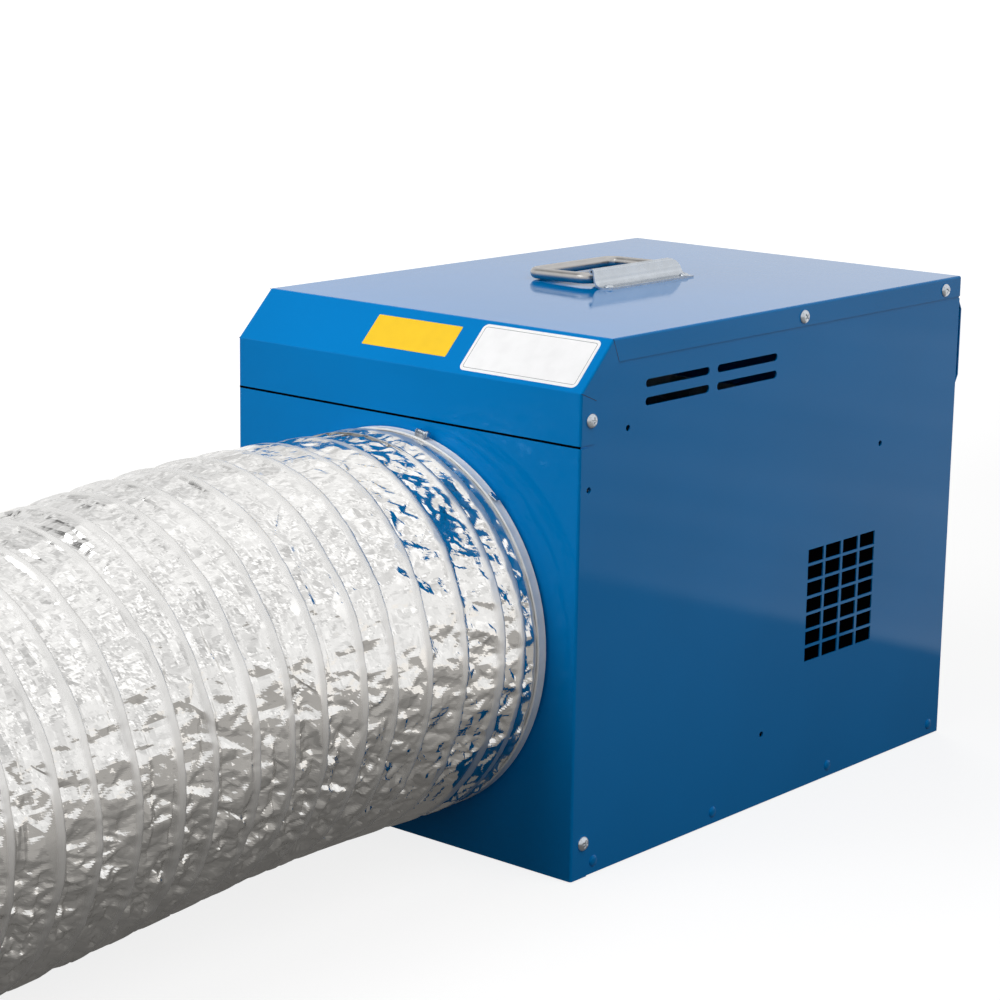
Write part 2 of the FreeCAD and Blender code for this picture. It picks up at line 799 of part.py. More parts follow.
keep(
    group(
        *(
            pan_screw(
                "z", "handle_screw_head", "screw_head_height * 0.7", "handle_screw_radius", "screw_length",
                (HANDLE_SCREW_X, y, f"{LID_TOP} + bracket_sheet"), 1,
            )
            for y in HANDLE_SCREW_Y
        )
    ),
    "handle_screws",
)


def bail_shape():
    """Closed loop of round rod: pivot side in the barrel, grip side folded down towards -X."""
    bend = size("bail_bend")
    near = size("handle_front") - size("casing_depth") / 2 + size("bail_inset")
    far = near + size("handle_length") - 2 * size("bail_inset")
    pivot = size("barrel_across")
    grip = pivot - size("bail_reach")
    level = size("casing_height") + size("barrel_height")
    turn = bend * (1 - math.sqrt(0.5))

    def spot(x, y):
        return FreeCAD.Vector(x, y, level)

    def run(start, end):
        return Part.LineSegment(spot(*start), spot(*end)).toShape()

    def corner(start, middle, end):
        return Part.Arc(spot(*start), spot(*middle), spot(*end)).toShape()

    edges = [
        run((pivot, near + bend), (pivot, far - bend)),
        corner((pivot, far - bend), (pivot - turn, far - turn), (pivot - bend, far)),
        run((pivot - bend, far), (grip + bend, far)),
        corner((grip + bend, far), (grip + turn, far - turn), (grip, far - bend)),
        run((grip, far - bend), (grip, near + bend)),
        corner((grip, near + bend), (grip + turn, near + turn), (grip + bend, near)),
        run((grip + bend, near), (pivot - bend, near)),
        corner((pivot - bend, near), (pivot - turn, near + turn), (pivot, near + bend)),
    ]
    pieces = []
    for edge in edges:
        start = edge.valueAt(edge.FirstParameter)
        along = edge.tangentAt(edge.FirstParameter)
        section = Part.Wire(Part.makeCircle(size("bail_rod_radius"), start, along))
        pieces.append(Part.Wire(edge).makePipeShell([section], True, False))
    loop = pieces[0].fuse(pieces[1:]).removeSplitter()
    solid = loop.Solids[0]
    solid.rotate(FreeCAD.Vector(pivot, 0, level), FreeCAD.Vector(0, 1, 0), -size("bail_tilt"))
    return solid


shape_piece("handle_bail", bail_shape())

# Outlet spigot and the clip round the duct's end

spigot_tube = tube(
    "y", "spigot_radius", "spigot_radius - spigot_wall", "spigot_reach + spigot_depth",
    ("0", f"{FRONT} - spigot_reach", "outlet_height"),
)
spigot_ring = tube(
    "y", "spigot_radius + spigot_flange", "spigot_radius - spigot_wall", "sheet",
    ("0", f"{FRONT} + sheet", "outlet_height"),
)
ring_room = box(
    (f"2 * ({PANEL_IN} - sleeve_gap)", "sheet", "casing_height"),
    (f"sleeve_gap - ({PANEL_IN})", f"{FRONT} + sheet", "base_flange + sleeve_gap"),
)
keep(fuse(spigot_tube, common(spigot_ring, ring_room)), "outlet_spigot")

CLIP_BORE = "spigot_radius + sleeve_gap + duct_cuff_wall + sleeve_gap"
CLIP_OUT = f"{CLIP_BORE} + clip_thickness"
CLIP_Y = f"{FRONT} - clip_stand_off - clip_width"
clip_ring = tube("y", CLIP_OUT, CLIP_BORE, "clip_width", ("0", CLIP_Y, "outlet_height"))


def about_outlet(angle, item):
    """Turn an item made at the top of the outlet round to its angle."""
    item.Placement.Rotation = FreeCAD.Rotation(FreeCAD.Vector(0, 1, 0), size(angle)) * item.Placement.Rotation
    return item


def clip_block(angle, length, height):
    """Block on the band, square to the outlet's radius at an angle."""
    item = doc.addObject("Part::Box", "block")
    bind(item, Length=length, Width="clip_width", Height=height)
    radius = f"({CLIP_OUT} - clip_thickness / 2)"
    spin = f"({angle})"
    at = (
        f"{radius} * sin({spin}) - ({length}) / 2 * cos({spin})",
        CLIP_Y,
        f"outlet_height + {radius} * cos({spin}) + ({length}) / 2 * sin({spin})",
    )
    return about_outlet(angle, place(item, at))


CLIP_SCREW_RADIUS = f"({CLIP_OUT} - clip_thickness / 2 + clip_housing_height / 2)"
CLIP_SCREW_HALF = "clip_screw_length / 2"
clip_screw_at = (
    f"{CLIP_SCREW_RADIUS} * sin(clip_angle) - {CLIP_SCREW_HALF} * cos(clip_angle)",
    f"{CLIP_Y} + clip_width / 2",
    f"outlet_height + {CLIP_SCREW_RADIUS} * cos(clip_angle) + {CLIP_SCREW_HALF} * sin(clip_angle)",
)


def clip_rod(radius):
    return about_outlet("clip_angle", rod("x", radius, "clip_screw_length", clip_screw_at))


clip_housing = clip_block("clip_angle", "clip_housing_length", "clip_housing_height")
clip_tail = clip_block("clip_tail_angle", "clip_housing_length * 0.7", "clip_thickness * 2")
clip_bore = clip_rod("clip_screw_radius + sleeve_gap")
keep(cut(fuse(clip_ring, clip_housing, clip_tail), clip_bore), "duct_clip_band")
keep(clip_rod("clip_screw_radius"), "duct_clip_screw")

# Foil duct: wire ribs under a thin skin, straight off the spigot, then sagging to the floor

BORE_RADIUS = size("spigot_radius") + size("sleeve_gap")
CREST_RADIUS = BORE_RADIUS + size("duct_crest")
CUFF_RADIUS = BORE_RADIUS + size("duct_cuff_wall")
REST_HEIGHT = CREST_RADIUS + size("floor_gap")
SAG_START = 0.15
DUCT_LEAD = 3.0
STRAIGHT = size("spigot_reach") + DUCT_LEAD
IN_VIEW = size("duct_in_view")
OPEN_PITCH = (IN_VIEW - size("open_start")) / (size("duct_turns") + 0.5)
LEAN = OPEN_PITCH / (4 * CREST_RADIUS)


def eased(along, start, end):
    """Smooth step from 0 at the start to 1 at the end."""
    share = min(max((along - start) / (end - start), 0.0), 1.0)
    return share * share * (3 - 2 * share)


def duct_height(along):
    """Height of the duct's axis at a distance from the front panel."""
    share = min(max(along - STRAIGHT, 0.0) / (IN_VIEW - STRAIGHT), 1.0)
    drop = (size("outlet_height") - REST_HEIGHT) * eased(share, SAG_START, 1.0)
    return size("outlet_height") - drop + size("duct_hump") * math.sin(math.pi * share) * (1 - share)


def duct_lean(along):
    """Slope of a turn of the wire: its top lies a quarter of the pitch nearer the panel than its sides."""
    return LEAN * eased(along, size("duct_cuff"), 90.0) * (1 - eased(along, 520.0, IN_VIEW))


def bore_radius(along):
    """The skin hangs in a little between the turns once it is off the spigot."""
    return BORE_RADIUS - size("duct_slack") * eased(along, STRAIGHT, 90.0)


def duct_ring(along, radius):
    """Section of the duct, leaned with the wire and lower where the duct's own weight flattens it."""
    step = 0.5
    rise = (duct_height(along + step) - duct_height(along - step)) / (2 * step)
    flat = size("duct_flat") * eased(along, 200.0, 500.0)
    centre = FreeCAD.Vector(0, -size("casing_depth") / 2 - along, duct_height(along) - flat)
    ahead = FreeCAD.Vector(0, -1, rise + duct_lean(along))
    axis_x = FreeCAD.Vector(1, 0, 0)
    ring = Part.Ellipse(FreeCAD.Vector(), radius, radius - flat).toShape()
    ring.Placement = FreeCAD.Placement(centre, FreeCAD.Rotation(axis_x, FreeCAD.Vector(), ahead, "ZXY"))
    return Part.Wire(ring)


def ribbed_hose(stations, bore_at):
    """Hose skin from (distance, radius) stations, with a plain bore through the given distances."""
    outside = Part.makeLoft([duct_ring(along, radius) for along, radius in stations], True, True)
    bore = Part.makeLoft([duct_ring(along, bore_radius(along)) for along in bore_at], True, True)
    return outside.cut(bore)


def valley(along):
    return (along, bore_radius(along) + size("duct_wall"))


def rib(middle, half_foot, half_top):
    return [
        valley(middle - half_foot),
        (middle - half_top, CREST_RADIUS),
        (middle + half_top, CREST_RADIUS),
        valley(middle + half_foot),
    ]


RIB_FOOT = 6.0
RIB_TOP = 1.5
rib_places = [size("first_rib"), size("second_rib"), size("third_rib")]
for turn in range(int(size("duct_turns"))):
    drift = 0.08 * math.sin(2.4 * turn)
    rib_places.append(size("open_start") + (turn + 0.5 + drift) * OPEN_PITCH)
stations = [(size("duct_start_gap"), CUFF_RADIUS), (size("duct_cuff"), CUFF_RADIUS)]
for rib_at in rib_places:
    stations += rib(rib_at, RIB_FOOT, RIB_TOP)
stations.append(valley(IN_VIEW))
shape_piece("duct_stretch", ribbed_hose(stations, [along for along, radius in stations]))

pitch = size("stored_pitch")
stations = [valley(IN_VIEW)]
for turn in range(int(size("stored_turns"))):
    stations += rib(IN_VIEW + (turn + 0.75) * pitch, 0.45 * pitch, 0.15 * pitch)
stored_end = IN_VIEW + (size("stored_turns") + 0.5) * pitch
stations.append(valley(stored_end))
shape_piece("duct_stored", ribbed_hose(stations, [IN_VIEW, stored_end]))

# Air tunnel, bulkhead and heating rings

TUNNEL_BORE = "spigot_radius + sleeve_gap"
TUNNEL_OUT = f"{TUNNEL_BORE} + tunnel_wall"
RING_COUNT = 3
ring_rows = [f"-(ring_back + {k} * ring_row)" for k in range(RING_COUNT)]
ring_sizes = [f"(ring_radius + {k} * ring_step)" for k in range(RING_COUNT)]


def ring_legs(k, radius, extra):
    """Two upright legs of a heating ring, from its top through the tunnel's wall."""
    rise = f"sqrt({ring_sizes[k]} * {ring_sizes[k]} - ring_leg_spread * ring_leg_spread)"
    base = f"outlet_height + {rise} - {extra}"
    top = f"outlet_height + {TUNNEL_OUT} + ring_leg_over"
    return [
        rod("z", radius, f"{top} - ({base})", (f"{s} * ring_leg_spread", ring_rows[k], base)) for s in (1, -1)
    ]


def heating_ring(k, label):
    loop = doc.addObject("Part::Torus", "loop")
    bind(loop, Radius1=ring_sizes[k], Radius2="ring_rod_radius")
    place(loop, ("0", ring_rows[k], "outlet_height"), FreeCAD.Rotation(FreeCAD.Vector(1, 0, 0), 90))
    keep(fuse(loop, *ring_legs(k, "ring_rod_radius", "ring_leg_root")), label)


for k, label in enumerate(("heating_ring_inner", "heating_ring_middle", "heating_ring_outer")):
    heating_ring(k, label)

tunnel_shell = tube(
    "y", TUNNEL_OUT, TUNNEL_BORE, "tunnel_front + bulkhead_back", ("0", "-tunnel_front", "outlet_height")
)
leg_holes = [leg for k in range(RING_COUNT) for leg in ring_legs(k, "ring_rod_radius + ring_hole_gap", "0")]
keep(cut(tunnel_shell, *leg_holes), "air_tunnel")

RING_ROWS_DEPTH = f"{RING_COUNT - 1} * ring_row"
support_bar = box(
    (f"2 * ({TUNNEL_BORE}) - 2 * sleeve_gap", f"{RING_ROWS_DEPTH} + 2 * support_margin", "support_thickness"),
    (
        f"sleeve_gap - ({TUNNEL_BORE})",
        f"-(ring_back + {RING_ROWS_DEPTH}) - support_margin",
        "outlet_height - support_thickness / 2",
    ),
)
support_holes = [
    rod("z", "ring_rod_radius + ring_hole_gap", "2 * support_thickness",
        (f"{s} * {ring_sizes[k]}", ring_rows[k], "outlet_height - support_thickness"))
    for k in range(RING_COUNT)
    for s in (1, -1)
]
keep(cut(support_bar, *support_holes), "element_support")
wall_nuts = [
    tube("z", "wall_nut_radius", "ring_rod_radius + ring_hole_gap", "wall_nut_height",
         (f"{s} * ring_leg_spread", ring_rows[k], f"outlet_height + {TUNNEL_OUT} + sleeve_gap"))
    for k in range(RING_COUNT)
    for s in (1, -1)
]
keep(group(*wall_nuts), "element_wall_nuts")
CUTOUT_AT = ("0", "-cutout_back", f"outlet_height + {TUNNEL_OUT} + sleeve_gap")
cutout_cap = rod("z", "cutout_radius", "cutout_height", CUTOUT_AT)
cutout_post = rod("z", "cutout_radius * 0.3", "cutout_height * 1.6", CUTOUT_AT)
keep(fuse(cutout_cap, cutout_post), "overheat_cutout")

bulkhead_plate = box(
    ("casing_width - 6 * sheet", "sheet", "bulkhead_height - sheet"),
    (f"3 * sheet - {SIDE}", "bulkhead_back", "sheet"),
)
bulkhead_foot = box(
    ("casing_width - 6 * sheet", "bulkhead_foot", "sheet"), (f"3 * sheet - {SIDE}", "bulkhead_back", "sheet")
)
air_hole = rod("y", TUNNEL_BORE, "4 * sheet", ("0", "bulkhead_back - sheet", "outlet_height"))
keep(cut(fuse(bulkhead_plate, bulkhead_foot), air_hole), "fan_bulkhead")

# Fan and motor on the outlet's axis


def on_axis(back):
    return ("0", back, "outlet_height")


MOTOR_END = "motor_back + motor_length"
keep(
    rod("y", "shaft_radius", f"{MOTOR_END} - fan_hub_back + fan_nut_length + 2",
        on_axis("fan_hub_back - fan_nut_length - 2")),
    "motor_shaft",
)


BLADE_SINK = 4.0
ROOT_PITCH = 40
TIP_PITCH = 24
ROOT_SHARE = 0.66


def impeller_shape():
    """Hub and twisted blades about +Y, with the shaft's bore."""
    hub_radius = size("fan_hub_radius")
    hub_length = size("fan_hub_length")
    chord = size("blade_chord")
    axis = FreeCAD.Vector(0, 1, 0)
    origin = FreeCAD.Vector(0, size("fan_hub_back"), size("outlet_height"))
    middle = origin.y + hub_length / 2

    def section(radius, pitch_angle, width):
        lean = math.radians(pitch_angle)
        side = FreeCAD.Vector(math.cos(lean), math.sin(lean), 0) * (width / 2)
        skin = FreeCAD.Vector(-math.sin(lean), math.cos(lean), 0) * (size("blade_thickness") / 2)
        centre = FreeCAD.Vector(0, middle, origin.z + radius)
        corners = [centre + side + skin, centre - side + skin, centre - side - skin, centre + side - skin]
        return Part.makePolygon(corners + corners[:1])

    root = section(hub_radius - BLADE_SINK, ROOT_PITCH, chord * ROOT_SHARE)
    tip = section(size("fan_radius") - BLADE_SINK, TIP_PITCH, chord)
    sweep = Part.makeCylinder(size("fan_radius"), hub_length * 2, origin - axis * hub_length / 2, axis)
    blade = Part.makeLoft([root, tip], True, True).common(sweep)
    whole = Part.makeCylinder(hub_radius, hub_length, origin, axis)
    count = int(size("blade_count"))
    for k in range(count):
        copy = blade.copy()
        copy.rotate(origin, axis, 360.0 * k / count)
        whole = whole.fuse(copy)
    bore = Part.makeCylinder(size("shaft_radius") + size("shaft_fit"), hub_length, origin, axis)
    return whole.cut(bore).removeSplitter()


shape_piece("fan_impeller", impeller_shape())


def hex_nut(axis, radius, bore, length, at):
    """Six-sided nut with a plain bore, from its corner radius."""
    item = doc.addObject("Part::Prism", "nut")
    item.Polygon = 6
    bind(item, Circumradius=radius, Height=length)
    return cut(place(item, at, ALONG[axis]), rod(axis, bore, length, at))


NUT_BACK = on_axis("fan_hub_back - fan_nut_length")
keep(hex_nut("y", "fan_nut_radius", "shaft_radius + shaft_fit", "fan_nut_length", NUT_BACK), "impeller_nut")

motor_bolt_spots = round_spots("motor_bolt_circle", GUARD_SCREW_ANGLES)
post_spots = round_spots("post_circle", GUARD_SCREW_ANGLES)
bolt_holes = [
    rod("y", "motor_bolt_radius + screw_clearance", "arm_thickness + 3 * shield_thickness",
        (x, "motor_back - 2 * arm_thickness", z))
    for x, z in motor_bolt_spots
]


def bearing_shield(back):
    return tube("y", "motor_radius", "bearing_radius + shaft_fit", "shield_thickness", on_axis(back))


REAR_SHIELD = f"{MOTOR_END} - shield_thickness"
keep(cut(bearing_shield("motor_back"), *bolt_holes), "motor_front_shield")
keep(bearing_shield(REAR_SHIELD), "motor_rear_shield")
for label, back in (("front_bearing", "motor_back"), ("rear_bearing", REAR_SHIELD)):
    keep(tube("y", "bearing_radius", "shaft_radius + shaft_fit", "shield_thickness", on_axis(back)), label)
SHELL_BACK = "motor_back + shield_thickness"
SHELL_LENGTH = "motor_length - 2 * shield_thickness"
keep(tube("y", "motor_radius", "motor_radius - motor_wall", SHELL_LENGTH, on_axis(SHELL_BACK)), "motor_shell")
STATOR_BACK = "motor_back + motor_length / 2 - stator_length / 2"
keep(
    tube("y", "motor_radius - motor_wall - shaft_fit", "stator_bore", "stator_length", on_axis(STATOR_BACK)),
    "motor_stator",
)
keep(
    tube("y", "stator_bore - rotor_gap", "shaft_radius + shaft_fit", "stator_length", on_axis(STATOR_BACK)),
    "motor_rotor",
)


def arm(angle):
    """Flat arm across the motor bracket, turned about the outlet's axis."""
    length = "2 * (post_circle + post_radius + arm_width / 4)"
    item = doc.addObject("Part::Box", "arm")
    bind(item, Length=length, Width="arm_thickness", Height="arm_width")
    at = (
        f"-({length}) / 2 * cos({angle}) - arm_width / 2 * sin({angle})",
        "motor_back - arm_thickness",
        f"outlet_height + ({length}) / 2 * sin({angle}) - arm_width / 2 * cos({angle})",
    )
    return place(item, at, FreeCAD.Rotation(FreeCAD.Vector(0, 1, 0), angle))


POST_FRONT = "bulkhead_back + sheet"
POST_LENGTH = f"motor_back - arm_thickness - ({POST_FRONT})"
posts = [rod("y", "post_radius", POST_LENGTH, (x, POST_FRONT, z)) for x, z in post_spots]
keep(group(*posts), "bracket_posts")
ARM_FRONT = "motor_back - 2 * arm_thickness"
shaft_window = rod("y", "bearing_radius * 1.6", "4 * arm_thickness", on_axis(ARM_FRONT))
hub_plate = rod("y", "motor_radius", "arm_thickness", on_axis("motor_back - arm_thickness"))
keep(cut(fuse(arm(45), arm(135), hub_plate), shaft_window, *bolt_holes), "motor_bracket")
BOLT_LENGTH = "arm_thickness + shield_thickness"
motor_bolts = [
    fuse(
        rod("y", "motor_bolt_head", "arm_thickness", (x, ARM_FRONT, z)),
        rod("y", "motor_bolt_radius", BOLT_LENGTH, (x, "motor_back - arm_thickness", z)),
    )
    for x, z in motor_bolt_spots
]
keep(group(*motor_bolts), "motor_bolts")

# Control panel with its switches, knobs, button and lamps

CONTROL_FACE = f"{REAR} + control_proud"


def control_outline(shift):
    return (
        (f"{REAR} - {shift}", "control_base"),
        (f"{CONTROL_FACE} - {shift}", "control_base + control_slope"),
        (f"{CONTROL_FACE} - {shift}", "control_top - control_slope"),
        (f"{REAR} - {shift}", "control_top"),
    )


def on_panel(across_text, back):
    return (across_text, back, "control_height")


def panel_hole(radius, across_text):
    return rod("y", radius, "4 * sheet", on_panel(across_text, f"{CONTROL_FACE} - 2 * sheet"))


control_shell = cut(
    prism("YZ_Plane", control_outline("0"), f"-({PANEL_OUT})", "casing_width - 2 * sheet"),
    prism("YZ_Plane", control_outline("sheet"), f"-{SIDE}", "casing_width"),
)
panel_holes = [
    panel_hole("bush_radius + screw_clearance", "selector_across"),
    panel_hole("bush_radius + screw_clearance", "thermostat_across"),
    panel_hole("reset_body_radius + screw_clearance", "reset_across"),
    *(panel_hole("lamp_radius + screw_clearance", x) for x in LAMP_SPOTS),
]
keep(cut(control_shell, *panel_holes), "control_panel")

PANEL_BACK = f"{CONTROL_FACE} - sheet"


def rotary_switch(label, across_text):
    """Switch body behind the panel, with a threaded bush through it."""
    body = box(
        ("switch_width", "switch_depth", "switch_width"),
        (
            f"{across_text} - switch_width / 2",
            f"{PANEL_BACK} - switch_depth",
            "control_height - switch_width / 2",
        ),
    )
    bush = rod("y", "bush_radius", "sheet + knob_gap * 0.5", on_panel(across_text, PANEL_BACK))
    bore = rod("y", "spindle_radius + spindle_fit", "spindle_seat + 4 * sheet",
               on_panel(across_text, f"{PANEL_BACK} - spindle_seat"))
    keep(cut(fuse(body, bush), bore), label)


KNOB_BACK = f"{CONTROL_FACE} + knob_gap"


def spindle(label, across_text):
    start = f"{PANEL_BACK} - spindle_seat + knob_gap"
    length = f"{KNOB_BACK} + knob_length * 0.7 - ({start})"
    keep(rod("y", "spindle_radius", length, on_panel(across_text, start)), label)


def knob(label, across_text, pointer_reach):
    """Skirted knob with a raised pointer rib across its end."""
    skirt = rod("y", "knob_skirt", "knob_skirt_length", on_panel(across_text, KNOB_BACK))
    grip = cone("y", "knob_radius", "knob_radius * 0.9", "knob_length", on_panel(across_text, KNOB_BACK))
    rib_size = ("pointer_width", "knob_length * 0.25", pointer_reach)
    pointer = box(
        rib_size,
        (
            f"{across_text} - pointer_width / 2",
            f"{KNOB_BACK} + knob_length * 0.9",
            "control_height - knob_radius * 0.4",
        ),
    )
    depth = "knob_length * 0.7 + shaft_fit"
    bore = rod("y", "spindle_radius + shaft_fit", depth, on_panel(across_text, KNOB_BACK))
    keep(cut(fuse(skirt, grip, pointer), bore), label)


for name, across_text, pointer_reach in (
    ("thermostat", "thermostat_across", "knob_radius * 1.3"),
    ("selector", "selector_across", "knob_radius * 1.25"),
):
    rotary_switch(f"{name}_body", across_text)
    spindle(f"{name}_spindle", across_text)
    knob(f"{name}_knob", across_text, pointer_reach)

RESET_BORE = "reset_radius + reset_fit"
reset_rim = rod("y", "reset_rim", "reset_rim_length", on_panel("reset_across", CONTROL_FACE))
reset_barrel = rod(
    "y", "reset_body_radius", "reset_body_length",
    on_panel("reset_across", f"{CONTROL_FACE} - reset_body_length"),
)
RESET_DEPTH = "reset_tail + reset_proud"
reset_bore = rod(
    "y", RESET_BORE, f"{RESET_DEPTH} + reset_rim_length",
    on_panel("reset_across", f"{CONTROL_FACE} - ({RESET_DEPTH})"),
)
keep(cut(fuse(reset_rim, reset_barrel), reset_bore), "reset_housing")
RESET_FRONT = f"{CONTROL_FACE} - reset_tail"
RESET_LENGTH = "reset_tail + reset_rim_length + reset_proud"
keep(rod("y", "reset_radius", RESET_LENGTH, on_panel("reset_across", RESET_FRONT)), "reset_button")

lamp_bodies = [
    rod("y", "lamp_radius", "lamp_body_length", on_panel(x, f"{CONTROL_FACE} - lamp_body_length"))
    for x in LAMP_SPOTS
]
lamp_lenses = [
    cone("y", "lamp_lens_radius", "lamp_lens_radius * 0.7", "lamp_lens_length", on_panel(x, CONTROL_FACE))
    for x in LAMP_SPOTS
]
keep(group(*lamp_bodies), "lamp_bodies")
keep(group(*lamp_lenses), "lamp_lenses")

# Cable gland


def at_gland(back):
    return ("gland_across", back, "gland_height")


gland_collar = hex_nut("y", "locknut_radius", "gland_bore", "gland_flange_length", at_gland(REAR))
NECK_LENGTH = "sheet + gland_inside"
NOSE_LENGTH = "gland_nut_length * 0.6"
gland_neck = tube("y", "gland_thread", "gland_bore", NECK_LENGTH, at_gland(f"{REAR} - ({NECK_LENGTH})"))
gland_nose = tube("y", "gland_thread", "gland_bore", NOSE_LENGTH, at_gland(f"{REAR} + gland_flange_length"))
keep(fuse(gland_collar, gland_neck, gland_nose), "gland_body")
dome = fuse(
    rod("y", "gland_radius", "gland_nut_length * 0.7", at_gland(f"{REAR} + gland_flange_length")),
    cone("y", "gland_radius", "gland_bore + 2", "gland_nut_length * 0.3",
         at_gland(f"{REAR} + gland_flange_length + gland_nut_length * 0.7")),
)
dome_thread = rod("y", "gland_thread + screw_clearance", f"{NOSE_LENGTH} + screw_clearance",
                  at_gland(f"{REAR} + gland_flange_length"))
dome_bore = rod("y", "gland_bore", "gland_nut_length", at_gland(f"{REAR} + gland_flange_length"))
keep(cut(dome, dome_thread, dome_bore), "gland_dome_nut")
keep(
    hex_nut("y", "locknut_radius", "gland_thread + screw_clearance", "locknut_length",
            at_gland(f"{REAR} - sheet - locknut_length")),
    "gland_locknut",
)

# Electrical parts on the base pan

keep(
    box(("terminal_length", "terminal_width", "terminal_height"),
        ("tray_across - terminal_length / 2", "tray_back - terminal_width / 2", "sheet")),
    "terminal_block",
)
keep(
    box(("contactor_width", "contactor_depth", "contactor_height"),
        ("-tray_across - contactor_width / 2", "tray_back - contactor_depth / 2", "sheet")),
    "contactor",
)
stud = rod("z", "stud_radius", "stud_height", ("0", "stud_back", "0"))
stud_nut = rod("z", "stud_nut_radius", "stud_nut_height", ("0", "stud_back", "sheet"))
keep(fuse(stud, stud_nut), "earth_stud")

doc.recompute()

failed = [item.Name for item in doc.Objects if {"Invalid", "Error"} & set(item.State)]
if failed:
    raise RuntimeError(f"objects that failed: {failed}")
for piece in NODES:
    if piece.Shape.isNull() or not piece.Shape.isValid() or not piece.Shape.Solids:
        raise RuntimeError(f"bad shape: {piece.Label}")

os.makedirs("parts", exist_ok=True)
for piece in NODES:
    piece.Shape.exportStep(os.path.join("parts", f"{piece.Label}.step"))
    print(piece.Label, len(piece.Shape.Solids), round(piece.Shape.Volume))
print(len(NODES), "nodes")
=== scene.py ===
"""Looks of a commercial fan heater with a wide foil duct, dressed over its packed construction."""

import json
import logging
import math
from dataclasses import dataclass, field
from enum import Enum

import bpy
import numpy as np
from mathutils import Matrix, Vector


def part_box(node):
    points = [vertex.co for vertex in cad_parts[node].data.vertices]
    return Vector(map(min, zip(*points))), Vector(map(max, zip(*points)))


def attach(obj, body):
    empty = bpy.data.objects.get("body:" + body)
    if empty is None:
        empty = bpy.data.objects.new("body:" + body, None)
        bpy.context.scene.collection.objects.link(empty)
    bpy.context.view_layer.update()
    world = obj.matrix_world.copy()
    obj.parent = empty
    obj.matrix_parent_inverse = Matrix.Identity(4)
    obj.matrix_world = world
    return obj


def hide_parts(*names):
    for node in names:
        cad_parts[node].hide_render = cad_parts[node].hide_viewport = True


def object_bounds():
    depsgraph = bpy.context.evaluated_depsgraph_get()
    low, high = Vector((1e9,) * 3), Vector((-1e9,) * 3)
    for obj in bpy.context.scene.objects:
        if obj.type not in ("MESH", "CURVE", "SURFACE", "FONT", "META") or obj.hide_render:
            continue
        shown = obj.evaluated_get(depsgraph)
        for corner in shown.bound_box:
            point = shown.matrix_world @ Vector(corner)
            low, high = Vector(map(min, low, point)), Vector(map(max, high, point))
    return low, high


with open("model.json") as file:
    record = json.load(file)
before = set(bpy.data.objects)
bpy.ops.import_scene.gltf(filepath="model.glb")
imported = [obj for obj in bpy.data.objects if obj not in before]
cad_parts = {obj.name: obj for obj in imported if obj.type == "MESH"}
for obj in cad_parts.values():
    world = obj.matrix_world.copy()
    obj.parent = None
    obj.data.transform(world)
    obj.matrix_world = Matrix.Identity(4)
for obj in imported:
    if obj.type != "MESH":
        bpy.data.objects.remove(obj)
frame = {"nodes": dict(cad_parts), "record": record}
CAD_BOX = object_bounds()
MM = 0.001
LOG = logging.getLogger("fan_heater")

Colour = tuple[float, float, float]
Triple = tuple[float, float, float]
Pair = tuple[float, float]
Faces = list[tuple[int, ...]]
Patch = tuple[np.ndarray, Faces]
Socket = bpy.types.NodeSocket

CLOUD: Pair = (0.3, 0.7)
WHOLE: Pair = (0.0, 1.0)
NOSE = 37.0 * MM


class Body(str, Enum):
    """Bodies of the construction that the scene's own pieces ride on."""

    CASING = "casing"
    THERMOSTAT = "thermostat_control"
    SELECTOR = "selector_control"


class Slot(str, Enum):
    """Material slots of the record."""

    PAINT = "blue_paint"
    ZINC = "zinc_plate"
    STEEL = "satin_steel"
    GALVANISED = "galvanised"
    FOIL = "foil"
    SHEATH = "element_sheath"
    ALLOY = "fan_alloy"
    MOTOR = "motor_paint"
    CORE = "iron_core"
    BLACK = "black_plastic"
    BRASS = "spindle_brass"
    RED = "red_plastic"
    AMBER = "amber_lens"


def srgb(red: int, green: int, blue: int) -> Colour:
    """Linear colour of display values from 0 to 255."""
    shares = [value / 255 for value in (red, green, blue)]
    return tuple(s / 12.92 if s <= 0.04045 else ((s + 0.055) / 1.055) ** 2.4 for s in shares)


def smooth(values: np.ndarray, low: float, high: float) -> np.ndarray:
    """Smooth step of the values from 0 at low to 1 at high."""
    share = np.clip((values - low) / (high - low), 0.0, 1.0)
    return share * share * (3 - 2 * share)


